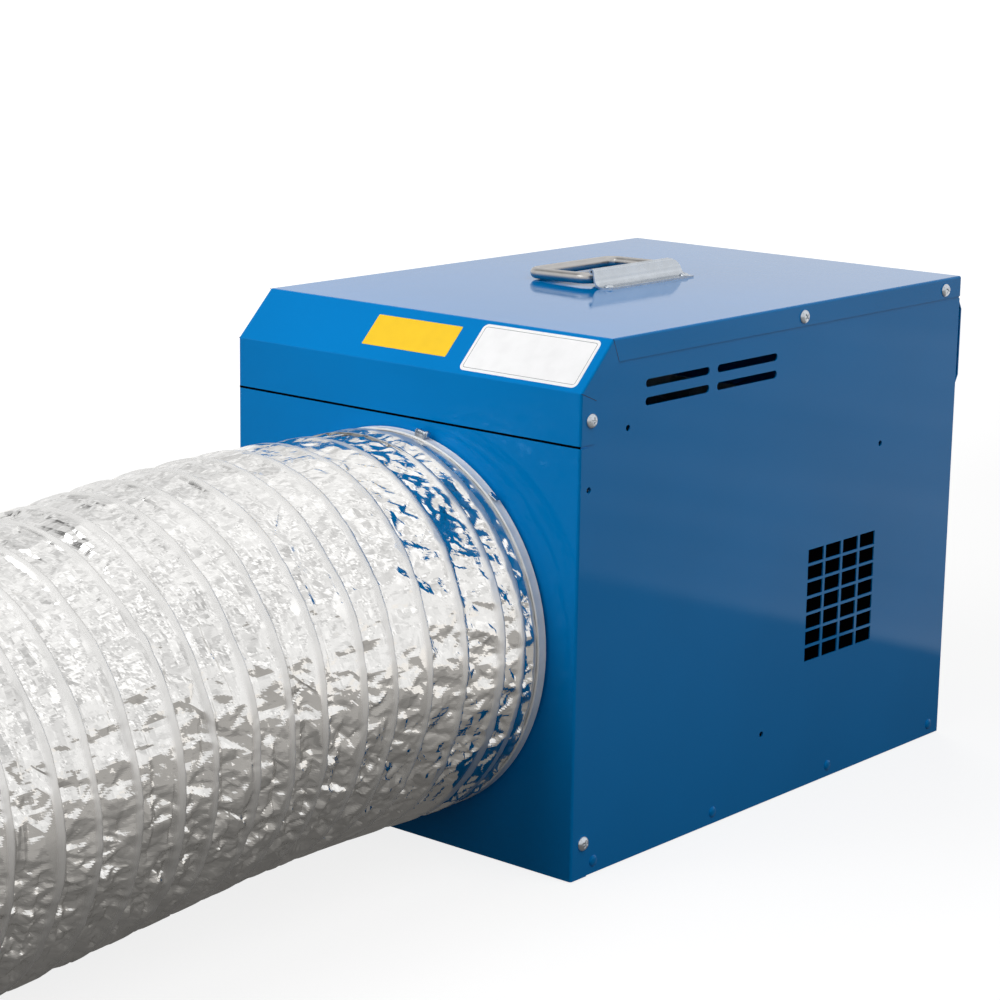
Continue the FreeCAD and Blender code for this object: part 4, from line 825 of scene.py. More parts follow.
@dataclass
class FoilDuct:
    """Foil duct: wire helix under a crinkled skin, from the outlet to its pushed-together end."""

    bore: float = 150.3 * MM
    valley: float = 151.8 * MM
    crest: float = 155.5 * MM
    slack: float = 3.4 * MM
    slack_reach: Pair = (46 * MM, 60 * MM)
    hollow: Pair = (3.8 * MM, 5.4 * MM)
    hollow_reach: Pair = (150 * MM, 380 * MM)
    hollow_power: float = 1.6
    lowest: Pair = (0.74, 0.88)
    lowest_reach: Pair = (60 * MM, 115 * MM)
    rounding: float = 0.08
    crown: float = 3.7 * MM
    band_half: float = 4.6 * MM
    band_hold: float = 0.75
    least_skin: float = 0.3 * MM
    cuff_radius: float = 152.7 * MM
    cuff: float = 14.0 * MM
    start: float = 0.5 * MM
    in_view: float = 590.0 * MM
    straight: float = 48.0 * MM
    outlet_height: float = 178.0 * MM
    floor_gap: float = 0.3 * MM
    hump: float = 6.0 * MM
    sag_start: float = 0.15
    first_ribs: tuple[float, ...] = (7.1 * MM, 30.1 * MM, 53.1 * MM, 96.0 * MM)
    open_start: float = 117.5 * MM
    open_turns: int = 13
    stored_turns: int = 56
    stored_pitch: float = 2.6 * MM
    columns: int = 720
    row_step: float = 1.32 * MM
    lining_step: int = 12
    folded_columns: int = 160
    folded_steps: int = 6
    flat: float = 3.0 * MM
    flat_reach: Pair = (200 * MM, 500 * MM)
    layers: tuple[Crumple, ...] = (
        Crumple((34 * MM, 20 * MM), 0.5, 1.2),
        Crumple((20 * MM, 12 * MM), -0.4, 1.6),
        Crumple((11 * MM, 7 * MM), 0.3, 0.9, crushed=0.2),
        Crumple((6 * MM, 5 * MM), -0.2, 0.4, crushed=0.4),
        Crumple((7 * MM, 46 * MM), 0.16, 1.9, far_only=True),
    )
    pleat: Crumple = Crumple((9 * MM, 7 * MM), 0.4, 0.35)
    seed: int = 11

    def axis_height(self, along: np.ndarray) -> np.ndarray:
        """Height of the duct's axis.

        Args:
            along: Distances from the front panel.

        Returns:
            Heights above the floor.
        """
        share = np.clip((along - self.straight) / (self.in_view - self.straight), 0.0, 1.0)
        fall = np.maximum(0.0, (share - self.sag_start) / (1 - self.sag_start))
        drop = (self.outlet_height - self.crest - self.floor_gap) * (3 * fall**2 - 2 * fall**3)
        return self.outlet_height - drop + self.hump * np.sin(np.pi * share) * (1 - share)

    def skin(self, along: np.ndarray, turn: np.ndarray, radius: np.ndarray) -> np.ndarray:
        """Points of the skin.

        Args:
            along: Distance of each row from the panel.
            turn: Angle of each column from the top towards +X.
            radius: Radius at each row and column.

        Returns:
            Points, row by row.
        """
        step = 0.5 * MM
        rise = (self.axis_height(along + step) - self.axis_height(along - step)) / (2 * step)
        length = np.sqrt(1 + rise**2)
        up_y, up_z = rise / length, 1 / length
        sunk = (self.flat * smooth(along, *self.flat_reach))[:, None]
        x = radius * np.sin(turn)[None, :]
        lift = (radius - sunk) * np.cos(turn)[None, :]
        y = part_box("front_panel")[0].y - along[:, None] + lift * up_y[:, None]
        z = self.axis_height(along)[:, None] - sunk + lift * up_z[:, None]
        return np.stack((x, y, z), axis=-1).reshape(-1, 3)

    def wire_knots(self) -> tuple[np.ndarray, np.ndarray]:
        """Turns of the wire and their distances from the panel on the +X side.

        Returns:
            Turn numbers and distances.
        """
        pitch = (self.in_view - self.open_start) / (self.open_turns + 0.5)
        drift = [n + 0.5 + 0.08 * math.sin(2.4 * n) for n in range(self.open_turns + 1)]
        places = np.array([*self.first_ribs, *(self.open_start + turn * pitch for turn in drift)])
        return np.arange(len(places), dtype=float) - 1, places

    def facets(self, along: np.ndarray, columns: int, cell: Pair, lean: float,
               dice: np.random.Generator) -> np.ndarray:
        """Heights of a crumpled sheet: flat triangles between scattered points, with sharp creases.

        Args:
            along: Distance of each row from the panel.
            columns: Points round each row.
            cell: Triangle size along the duct and round it.
            lean: How far each line of points is shifted round the duct from the last, in cells.
            dice: Source of chance.

        Returns:
            Heights from -1 to 1, row by row.
        """
        around = max(6, round(2 * math.pi * self.valley / cell[1]))
        lines = math.ceil((along[-1] - along[0]) / cell[0]) + 3
        scale = np.array(((len(along) - 1) / (along[-1] - along[0]) * cell[0], columns / around))
        jitter = dice.uniform(-0.28, 0.28, (lines, around, 2))
        levels = dice.uniform(-1, 1, (lines, around))
        turned_cell = dice.random((lines, around)) < 0.5
        sheet = np.zeros((len(along), columns))
        for i, j in np.ndindex(lines - 1, around):
            spots = []
            for di, dj in ((0, 0), (1, 0), (1, 1), (0, 1)):
                line, spot = i + di, (j + dj) % around
                place = (np.array((line - 1, j + dj + lean * line)) + jitter[line, spot]) * scale
                spots.append((*place, levels[line, spot]))
            first = int(turned_cell[i, j])
            for second in (1, 2):
                corners = [spots[first], spots[(first + second) % 4], spots[(first + second + 1) % 4]]
                self.crease(sheet, np.array(corners))
        return sheet

    def crease(self, sheet: np.ndarray, corners: np.ndarray) -> None:
        """Lay one flat triangle into a crumpled sheet.

        Args:
            sheet: Heights, row by row.
            corners: Row, column and height of its corners.
        """
        low = np.floor(corners[:, :2].min(axis=0)).astype(int)
        high = np.ceil(corners[:, :2].max(axis=0)).astype(int) + 1
        u = np.arange(max(low[0], 0), min(high[0], len(sheet)))[:, None]
        v = np.arange(low[1], high[1])[None, :]
        a, b, c = corners
        area = (b[0] - a[0]) * (c[1] - a[1]) - (c[0] - a[0]) * (b[1] - a[1])
        if len(u) and abs(area) > 1e-9:
            p = ((u - a[0]) * (c[1] - a[1]) - (c[0] - a[0]) * (v - a[1])) / area
            q = ((b[0] - a[0]) * (v - a[1]) - (u - a[0]) * (b[1] - a[1])) / area
            row, column = np.nonzero((p >= -1e-6) & (q >= -1e-6) & (p + q <= 1 + 1e-6))
            height = a[2] + p * (b[2] - a[2]) + q * (c[2] - a[2])
            sheet[row + u[0, 0], (column + low[1]) % sheet.shape[1]] = height[row, column]

    def lining(self, along: np.ndarray) -> np.ndarray:
        """Radius inside the duct: a fit over the outlet, and less beyond it."""
        return self.bore - self.slack * smooth(along, *self.slack_reach)

    def finish_tube(self, name: str, outside: np.ndarray, inside: np.ndarray, columns: int,
                    band: np.ndarray) -> bpy.types.Object:
        """Close a skin with its lining and note where the wire's bands are.

        Args:
            name: Name of the piece.
            outside: Points of the outer skin, row by row.
            inside: Points of the lining, from the same start.
            columns: Points in each row.
            band: 1 on a wire's band, for each point of the skin.

        Returns:
            The piece.
        """
        rows, lining = len(outside) // columns, len(inside) // columns
        points = np.concatenate((outside, inside.reshape(lining, columns, 3)[::-1].reshape(-1, 3)))
        shape = Shape()
        shape.add(points, flipped(ring_faces(rows + lining, columns, True)))
        piece = shape.object(name, [SHOP.of(Slot.FOIL)], 180.0)
        crisp = np.zeros(len(piece.data.polygons), bool)
        crisp[:(rows - 1) * columns] = band[:(rows - 1) * columns] < 0.5
        piece.data.polygons.foreach_set("use_smooth", ~crisp)
        marks = piece.data.attributes.new("band", "FLOAT", "POINT")
        values = np.concatenate((band, np.full(len(inside), 0.3)))
        marks.data.foreach_set("value", values.astype(np.float32))
        return piece

    def wire(self, s: np.ndarray, t: np.ndarray) -> tuple[np.ndarray, np.ndarray]:
        """How the skin lies to the wire's turns.

        Args:
            s: Distance of each point from the panel.
            t: Angle of each point from the top towards +X.

        Returns:
            Turns counted up to each point, and its distance from the nearest turn.
        """
        turns, knots = self.wire_knots()
        wobble = 0.6 * MM * np.sin(5 * t + 40 * s) + 0.5 * MM * np.sin(11 * t - 23 * s)
        count = np.interp(s + wobble, knots, turns) - (t / (2 * math.pi) - 0.25)
        pitch = np.interp(s, knots[1:], np.diff(knots))
        return count, np.abs(count - np.round(count)) * pitch

    def ribs(self, s: np.ndarray, count: np.ndarray, away: np.ndarray) -> np.ndarray:
        """Radius of the smooth skin: flat crowns over the wire, hollows between and a plain cuff.

        Args:
            s: Distance of each point from the panel.
            count: Turns of the wire up to each point.
            away: Distance of each point from the nearest turn.

        Returns:
            The radius at each point.
        """
        lowest = np.interp(s, self.lowest_reach, self.lowest)
        phase = count - np.floor(count)
        share = np.where(phase < lowest, phase / lowest, (1 - phase) / (1 - lowest))
        between = 1 - (np.sqrt(share**2 + self.rounding**2) - self.rounding)
        depth = np.interp(s, self.hollow_reach, self.hollow)
        crown = np.exp(-((away / self.crown) ** 4))
        base = self.crest - depth * (1 - np.clip(between, 0.0, 1.0) ** self.hollow_power) * (1 - crown)
        return np.where(s < self.cuff, self.cuff_radius, base)

    def crumple(self, along: np.ndarray, s: np.ndarray, t: np.ndarray,
                dice: np.random.Generator) -> np.ndarray:
        """Heights of the crumpled foil, less on top and more below.

        Args:
            along: Distance of each row from the panel.
            s: Distance of each point from the panel.
            t: Angle of each point from the top towards +X.
            dice: Source of chance.

        Returns:
            Heights in metres.
        """
        below = smooth(-np.cos(t), -0.1, 0.5)
        crushed = np.maximum(below, 1 - smooth(s, 60 * MM, 130 * MM))
        far = smooth(s, 120 * MM, 260 * MM)
        sheet = np.zeros_like(s)
        for layer in self.layers:
            height = (layer.height + layer.crushed * crushed) * (far if layer.far_only else 1.0)
            sheet += height * self.facets(along, self.columns, layer.cell, layer.lean, dice)
        loose = 0.8 + 0.2 * smooth(s, 46 * MM, 200 * MM)
        return sheet * (1 - 0.2 * smooth(np.cos(t), 0.6, 1.0) + 0.6 * below) * MM * loose

    def stretch(self) -> bpy.types.Object:
        """The stretch in view.

        Returns:
            The piece.
        """
        dice = np.random.default_rng(self.seed)
        rows = round((self.in_view - self.start) / self.row_step) + 1
        along = np.linspace(self.start, self.in_view, rows)
        turn = circle(self.columns)
        s, t = np.meshgrid(along, turn, indexing="ij")
        count, away = self.wire(s, t)
        band = np.exp(-((away / self.band_half) ** 4)) * smooth(s, self.cuff - 2 * MM, self.cuff + 7 * MM)
        band = np.maximum(band, 1 - smooth(s, self.cuff - 1 * MM, self.cuff + 3 * MM))
        crumple = self.crumple(along, s, t, dice) * (1 - self.band_hold * band)
        radius = self.ribs(s, count, away) + crumple
        radius = np.clip(radius, self.lining(s) + self.least_skin, self.crest)
        places = np.append(along[:-1:self.lining_step], along[-1])
        bore = np.repeat(self.lining(places)[:, None], self.columns, axis=1)
        outside, inside = self.skin(along, turn, radius), self.skin(places, turn, bore)
        return self.finish_tube("foil_duct", outside, inside, self.columns, band.ravel())

    def folded(self) -> bpy.types.Object:
        """The rest of its length, pushed together like a concertina.

        Returns:
            The piece.
        """
        dice = np.random.default_rng(self.seed + 1)
        steps = np.arange(self.stored_turns * self.folded_steps + 1) / self.folded_steps
        along = self.in_view + np.append(steps, self.stored_turns + 0.5) * self.stored_pitch
        turn = circle(self.folded_columns)
        s, t = np.meshgrid(along, turn, indexing="ij")
        phase = (s - self.in_view) / self.stored_pitch - t / (2 * math.pi) + 0.25
        fold = 0.5 * (1 + np.cos(2 * np.pi * phase))
        heights = dice.uniform(0.55, 1.0, self.stored_turns + 5)
        uneven = np.interp(phase, np.arange(-2, self.stored_turns + 3), heights)
        pleats = self.facets(along, self.folded_columns, self.pleat.cell, self.pleat.lean, dice)
        radius = self.valley + (self.crest - self.valley) * fold * uneven
        radius = np.clip(radius + self.pleat.height * pleats * MM * (1 - fold), self.bore, self.crest)
        places = np.array([along[0], along[len(along) // 2], along[-1]])
        bore = np.full((len(places), self.folded_columns), self.bore - self.slack)
        outside, inside = self.skin(along, turn, radius), self.skin(places, turn, bore)
        return self.finish_tube("foil_duct_folded", outside, inside, self.folded_columns, fold.ravel())

    def build(self) -> None:
        """Make both pieces and fix them to the casing."""
        settle(self.stretch(), Body.CASING, ("duct_stretch",))
        settle(self.folded(), Body.CASING, ("duct_stored",))


@dataclass
class Fasteners:
    """Cross-recess screws and dome rivets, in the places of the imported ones."""

    recess_share: float = 0.52
    recess_width: float = 0.115
    recess_depth: float = 0.5
    shank_share: float = 0.42
    rim: float = 0.12
    dome: Pair = (2.6, 0.62)
    shank: float = 10 * MM
    reach: float = 25 * MM
    rings: int = 26
    columns: int = 72

    def head(self, radius: float, height: float) -> Patch:
        """Pan head on its seat at z 0, with a shank below.

        Args:
            radius: Head radius.
            height: Head height.

        Returns:
            Points and faces.
        """
        angles = circle(self.columns)
        shank = radius * self.shank_share
        skirt = [
            (0.0001 * radius, -self.shank), (shank, -self.shank), (shank, 0.0),
            (radius * 0.97, 0.0), (radius, height * self.rim),
        ]
        rows = [ring(r, angles, h) for r, h in skirt]
        for share in np.linspace(1.0, 0.0, self.rings):
            x, y = np.abs(share * np.cos(angles)), np.abs(share * np.sin(angles))
            across = np.minimum(np.maximum(x / self.recess_share, y / self.recess_width),
                                np.maximum(y / self.recess_share, x / self.recess_width))
            sink = 1 - smooth(across, 0.75, 1.12)
            depth = max(self.recess_depth * (1 - 0.55 * share / self.recess_share), 0.05)
            crown = self.rim + (1 - self.rim) * (1 - share ** self.dome[0]) ** self.dome[1]
            rows.append(ring(radius * share, angles, height * (crown - depth * sink)))
        return np.concatenate(rows), [tuple(range(self.columns))[::-1]] + ring_faces(len(rows), self.columns)

    def screws(self, node: str, axis: str, radius: float, height: float) -> None:
        """Replace a node of screws.

        Args:
            node: The node.
            axis: Axis along which its heads point, outward from the casing's middle.
            radius: Head radius.
            height: Head height.
        """
        dice = np.random.default_rng(len(node))
        i = "xyz".index(axis)
        middle = sum(CAD_BOX, Vector()) / 2
        middle.y = 0.0
        points, faces = self.head(radius, height)
        shape = Shape()
        for low, high in solids_of(node, self.reach):
            centre = (low + high) / 2
            outward = Vector((0, 0, 0))
            outward[i] = 1.0 if centre[i] > middle[i] else -1.0
            seat = centre.copy()
            seat[i] = (high[i] if outward[i] > 0 else low[i]) - outward[i] * height
            twist = Matrix.Rotation(dice.uniform(0, math.pi), 4, "Z")
            shape.add(moved(points, toward(outward, seat) @ twist), faces)
        piece = shape.object(f"{node}_cross_head", [SHOP.of(Slot.ZINC)], 50.0)
        settle(piece, Body.CASING, (node,))

    def rivets(self, node: str, radius: float, height: float, shank: float) -> None:
        """Replace a node of dome rivets.

        Args:
            node: The node.
            radius: Dome radius.
            height: Dome height.
            shank: Shank length.
        """
        rise = [(radius * math.cos(a), height * math.sin(a)) for a in np.linspace(0.0, 1.5, 9)]
        profile = [(radius * 0.02, -shank), (radius * 0.5, -shank), (radius * 0.5, 0.0), *rise]
        points, faces = turned(profile, 40)
        shape = Shape()
        for low, high in solids_of(node, self.reach):
            centre = (low + high) / 2
            outward = Vector((math.copysign(1.0, centre.x), 0, 0))
            seat = Vector(((high.x if outward.x > 0 else low.x) - outward.x * height, centre.y, centre.z))
            shape.add(moved(points, toward(outward, seat)), faces)
        settle(shape.object(f"{node}_dome", [SHOP.of(Slot.PAINT)]), Body.CASING, (node,))

    def build(self) -> None:
        """Replace every visible fastener."""
        for node, axis, radius, height in (
            ("lid_screws", "x", 5.8, 3.4),
            ("front_panel_screws", "x", 5.8, 3.4),
            ("rear_panel_screws", "y", 5.8, 3.4),
            ("guard_screws", "y", 4.2, 2.55),
            ("handle_screws", "z", 4.2, 2.38),
        ):
            self.screws(node, axis, radius * MM, height * MM)
        self.rivets("base_rivets", 4.6 * MM, 1.7 * MM, 5 * MM)


@dataclass
class NosePlates:
    """Two blank stickers on the sloped nose."""

    thickness: float = 0.18 * MM
    border: float = 2.6 * MM
    line: float = 0.5 * MM

    def loop(self, low: Pair, high: Pair, corner: float, inset: float) -> np.ndarray:
        """Rounded rectangle.

        Args:
            low: Lower corner.
            high: Upper corner.
            corner: Corner radius.
            inset: Distance inside the rectangle.

        Returns:
            Points round it.
        """
        radius = max(corner - inset, 0.2 * MM)
        spots = []
        corners = ((high[0], high[1]), (low[0], high[1]), (low[0], low[1]), (high[0], low[1]))
        for k, (x, v) in enumerate(corners):
            side = (1 if k in (0, 3) else -1, 1 if k in (0, 1) else -1)
            centre = (x - side[0] * (inset + radius), v - side[1] * (inset + radius))
            for a in np.linspace(0, math.pi / 2, 8) + k * math.pi / 2:
                spots.append((centre[0] + radius * math.cos(a), centre[1] + radius * math.sin(a)))
        return np.array(spots)

    def on_nose(self, spots: np.ndarray, lift: float) -> np.ndarray:
        """Points on the slope from across and slant distances.

        Args:
            spots: Across and slant pairs.
            lift: Height above the sheet.

        Returns:
            Points in the object's frame.
        """
        low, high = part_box("lid")
        slant = math.sqrt(0.5)
        x = spots[:, 0]
        y = low.y + slant * spots[:, 1] - slant * lift
        z = high.z - NOSE + slant * spots[:, 1] + slant * lift
        return np.column_stack((x, y, z))

    def plate(self, name: str, low: Pair, high: Pair, corner: float,
              finish: Finish, outlined: bool) -> None:
        """Stick one plate on.

        Args:
            name: Its name.
            low: Lower corner, across and slant.
            high: Upper corner.
            corner: Corner radius.
            finish: Its film.
            outlined: Whether a thin line runs inside its edge.
        """
        steps = [(0.0, 0.0), (0.0, self.thickness * 0.7), (self.thickness, self.thickness)]
        if outlined:
            steps += [(self.border, self.thickness), (self.border + self.line, self.thickness)]
        loops = [self.on_nose(self.loop(low, high, corner, inset), lift) for inset, lift in steps]
        count = len(loops[0])
        shape = Shape()
        for k in range(len(loops) - 1):
            ink = 1 if outlined and k == len(loops) - 2 else 0
            shape.add(np.concatenate(loops[k:k + 2]), ring_faces(2, count), ink)
        shape.add(loops[-1], [tuple(range(count))])
        shape.add(loops[0], [tuple(range(count))[::-1]])
        piece = shape.object(name, [SHOP.material(finish), SHOP.material(GREY_INK)])
        settle(piece, Body.CASING)

    def build(self) -> None:
        """Stick both plates on."""
        self.plate("yellow_plate", (-51 * MM, 13 * MM), (38 * MM, 42.8 * MM), 1 * MM, YELLOW_FILM, False)
        self.plate("white_plate", (57 * MM, 3.8 * MM), (173.4 * MM, 49 * MM), 5 * MM, WHITE_FILM, True)


@dataclass
class HoseClip:
    """Strap clip over the duct's end, with its small screw lug and the tail of its strap."""

    inner: float = 153.0 * MM
    outer: float = 154.2 * MM
    lug_turn: float = 10.75
    tail_turn: float = 41.8
    columns: int = 200

    def local(self, turn: float, radius: float, lean: float = 0.0) -> Matrix:
        """Placement on the strap: X round it, Y along the duct and Z outward.

        Args:
            turn: Degrees from the top towards +X.
            radius: Distance from the duct's axis.
            lean: Degrees that it leans round the strap.

        Returns:
            The placement.
        """
        low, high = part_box("duct_clip_band")
        axis = Vector((0.0, (low.y + high.y) / 2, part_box("outlet_spigot")[1].z - self.flange_rise()))
        turned_to = Matrix.Rotation(math.radians(turn), 4, "Y")
        return Matrix.Translation(axis) @ turned_to @ Matrix.Translation((0, 0, radius)) @ Matrix.Rotation(
            math.radians(lean), 4, "Y")

    def flange_rise(self) -> float:
        """Half the height of the spigot, which is centred on the duct's axis."""
        low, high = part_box("outlet_spigot")
        return (high.x - low.x) / 2

    def build(self) -> None:
        """Make the clip and fix it to the casing."""
        low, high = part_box("duct_clip_band")
        half = (high.y - low.y) / 2
        section = [
            (self.inner, -half), (self.outer - 0.1 * MM, -half),
            (self.outer + 0.35 * MM, -half + 0.5 * MM), (self.outer, -half + 1.3 * MM),
            (self.outer, half - 1.3 * MM), (self.outer + 0.35 * MM, half - 0.5 * MM),
            (self.outer - 0.1 * MM, half), (self.inner, half),
        ]
        middle = np.array(self.local(0.0, 0.0).translation)
        angles = circle(self.columns)
        rings = [
            np.column_stack((r * np.sin(angles), np.full(self.columns, y), r * np.cos(angles))) + middle
            for r, y in section
        ]
        shape = Shape()
        shape.add(np.concatenate(rings), flipped(ring_faces(len(section), self.columns, True)))
        for turn, size, lean, rise in (
            (self.lug_turn, (9.0, 6.0, 3.2), 0.0, 0.0),
            (self.lug_turn - 1.4, (1.4, 7.0, 5.6), -8.0, 0.0),
            (self.lug_turn + 1.4, (1.4, 7.0, 5.6), 8.0, 0.0),
            (self.tail_turn, (9.0, 5.0, 0.9), -14.0, 1.0),
            (self.tail_turn - 1.2, (2.6, 3.4, 1.8), 0.0, 0.0),
        ):
            points, faces = block(tuple(v * MM for v in size), 0.4 * MM)
            shape.add(moved(points, self.local(turn, self.outer + (rise - 0.1) * MM, lean)), faces, 1)
        screw = [(0.01, -6), (1.5, -6), (1.5, 4), (2.6, 4.1), (2.6, 6), (2.2, 6.4), (0.01, 6.4)]
        points, faces = turned([(r * MM, h * MM) for r, h in screw], 24)
        across = self.local(self.lug_turn, self.outer + 4.2 * MM) @ Matrix.Rotation(math.pi / 2, 4, "Y")
        shape.add(moved(points, across), faces, 1)
        piece = shape.object("hose_clip", [SHOP.material(CLIP_STRAP), SHOP.of(Slot.ZINC)])
        settle(piece, Body.CASING, ("duct_clip_band", "duct_clip_screw"))


@dataclass
class Handle:
    """Bracket of bent sheet: screwed flange, wall with a rolled crest, and barrel that holds the bail."""

    sheet: float = 1.5 * MM
    corner: float = 13.0 * MM
    notch: float = 16.7 * MM
    barrel_across: float = -3.0 * MM
    barrel_height: float = 7.0 * MM
    barrel_mid: float = 5.6 * MM
    wall_across: float = 6.2 * MM
    wall_lean: float = 1.4 * MM
    fillet: float = 7.5 * MM
    curl_height: float = 14.0 * MM
    curl_mid: float = 1.7 * MM
    far_fall: Pair = (16.0 * MM, 12.0 * MM)

    def sweep(self) -> np.ndarray:
        """Middle line of the sheet from the flange's edge up the wall to the crest.

        Returns:
            Across and height pairs.
        """
        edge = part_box("handle_bracket")[1].x
        flat = self.sheet / 2
        turn = np.radians(np.linspace(0, 84, 14))
        flange = np.column_stack((edge - self.corner + self.corner * np.cos(turn), np.full(14, flat)))
        bend = np.radians(np.linspace(-90, -180, 12))
        foot = self.wall_across + self.wall_lean
        centre = np.array((foot + self.fillet, flat + self.fillet))
        fillet = centre + self.fillet * np.column_stack((np.cos(bend), np.sin(bend)))
        climb = np.linspace(fillet[-1, 1], self.curl_height, 9)[1:]
        share = (climb - fillet[-1, 1]) / (self.curl_height - fillet[-1, 1])
        wall = np.column_stack((foot - self.wall_lean * share**0.8, climb))
        flange = flange[flange[:, 0] > fillet[0, 0] + 0.2 * MM]
        return np.concatenate((flange, fillet, wall))

    def roll(self, centre: Pair, radius: float, start: float, sweep: float) -> np.ndarray:
        """Arc round a centre, from an angle and through a sweep in degrees."""
        angles = np.radians(np.linspace(start, start + sweep, 40))
        return np.array(centre) + radius * np.column_stack((np.cos(angles), np.sin(angles)))

    def stretch(self, shape: Shape, line: np.ndarray, start: float, stop: float) -> None:
        """Add one stretch of the sheet along Y, with the flange's rounded corners.

        Args:
            shape: Shape that it joins.
            line: Middle line, across and height pairs.
            start: Y where it starts.
            stop: Y where it stops.
        """
        low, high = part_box("handle_bracket")
        along = np.gradient(line, axis=0)
        along /= np.linalg.norm(along, axis=1)[:, None]
        side = np.column_stack((-along[:, 1], along[:, 0])) * self.sheet / 2
        reach = np.clip(line[:, 0] - (high.x - self.corner), 0, self.corner)
        inset = self.corner - np.sqrt(self.corner**2 - reach**2)
        first = np.minimum(np.maximum(start, low.y + inset), stop)
        reach_y, reach_z = self.far_fall
        climb = np.clip((line[:, 1] - (self.curl_height + self.curl_mid - reach_z)) / reach_z, 0, 1)
        fall = reach_y * (1 - np.sqrt(1 - climb**2))
        last = np.maximum(np.minimum(stop, high.y - fall), first)
        count = len(line)
        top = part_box("lid")[1].z
        loops = []
        for y in (first, last):
            for edge in (line + side, line - side):
                loops.append(np.column_stack((edge[:, 0], y, top + edge[:, 1])))
        faces = []
        for i in range(count - 1):
            a, b, c, d = (i + k * count for k in range(4))
            faces += [(a, c, c + 1, a + 1), (b, b + 1, d + 1, d)]
            faces += [(a, a + 1, b + 1, b), (c, d, d + 1, c + 1)]
        ends = [(0, count, 3 * count, 2 * count), (count - 1, 3 * count - 1, 4 * count - 1, 2 * count - 1)]
        shape.add(np.concatenate(loops), faces + ends)

    def build(self) -> None:
        """Make the bracket and fix it to the casing."""
        low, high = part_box("handle_bracket")
        curl = self.roll((self.wall_across - self.curl_mid, self.curl_height), self.curl_mid, 8, 320)
        rolled = self.roll((self.barrel_across, self.barrel_height), self.barrel_mid, 90, 290)
        level = rolled[0, 1]
        strap = np.array([(self.wall_across - 0.6 * MM, level), (self.barrel_across + 3 * MM, level)])
        shape = Shape()
        self.stretch(shape, np.concatenate((self.sweep(), curl)), low.y, high.y)
        self.stretch(shape, np.concatenate((strap, rolled)), low.y + self.notch, high.y - self.notch)
        piece = shape.object("handle_bracket_swept", [SHOP.of(Slot.ZINC)])
        settle(piece, Body.CASING, ("handle_bracket",))


@dataclass
class Trim:
    """Painted shade of the slits at the lid's folded corners, and the seal behind the front joint and the
    vent filters, which are also painted shade.
    """

    flange: float = 18.0 * MM
    seam_width: float = 0.55 * MM
    grille_low: Pair = (38.0 * MM, 105.0 * MM)
    grille_high: Pair = (153.0 * MM, 216.0 * MM)

    def seams(self) -> None:
        """Painted shade of the slits where the lid's side flange is folded round the nose: thin dark strips
        on the flange.
        """
        low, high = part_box("lid")
        bends = ((low.y + NOSE, high.z, 67.5), (low.y, high.z - NOSE, 22.5))
        shape = Shape()
        for side in (-1, 1):
            for y, z, slope in bends:
                reach = self.flange / math.sin(math.radians(67.5))
                points, faces = block((reach, self.seam_width, 0.06 * MM), 0.02 * MM)
                points = points + np.array((reach / 2, 0, 0))
                lean = math.radians(slope)
                face = Matrix(((0, 0, side, side * high.x), (math.cos(lean), math.sin(lean), 0, y),
                               (-math.sin(lean), math.cos(lean), 0, z), (0, 0, 0, 1)))
                shape.add(moved(points, face), faces if side < 0 else flipped(faces))
        settle(shape.object("lid_corner_seam_shade", [SHOP.material(SEAM_SHADE)]), Body.CASING)

    def seal(self) -> None:
        """Foam gasket in the joint of lid and front panel, near-black without gloss: it is also the painted
        shade of the joint.
        """
        low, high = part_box("front_panel")
        points, faces = block((high.x - low.x - 1.2 * MM, 0.8 * MM, 1.9 * MM), 0.1 * MM)
        shape = Shape()
        shape.add(points + np.array((0, low.y + 0.8 * MM, high.z)), faces)
        settle(shape.object("front_joint_seal_shade", [SHOP.material(FOAM_AND_SHADE)]), Body.CASING)

    def filters(self) -> None:
        """Foam dust filters behind the side grilles, near-black without gloss: they are also the painted
        shade of the inside seen through the grilles.
        """
        wide, tall = (b - a for a, b in zip(self.grille_low, self.grille_high))
        middle = [(a + b) / 2 for a, b in zip(self.grille_low, self.grille_high)]
        points, faces = block((wide, tall, 3 * MM), 0.5 * MM)
        shape = Shape()
        for name, side in (("left_side_panel", -1), ("right_side_panel", 1)):
            low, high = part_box(name)
            inner = (high.x if side > 0 else low.x) - side * 5.4 * MM
            face = Matrix(((0, 0, side, inner), (1, 0, 0, middle[0]), (0, 1, 0, middle[1]), (0, 0, 0, 1)))
            shape.add(moved(points, face), faces if side > 0 else flipped(faces))
        settle(shape.object("vent_filter_shade", [SHOP.material(FOAM_AND_SHADE)]), Body.CASING)

    def build(self) -> None:
        """Add all the trim."""
        self.seams()
        self.seal()
        self.filters()


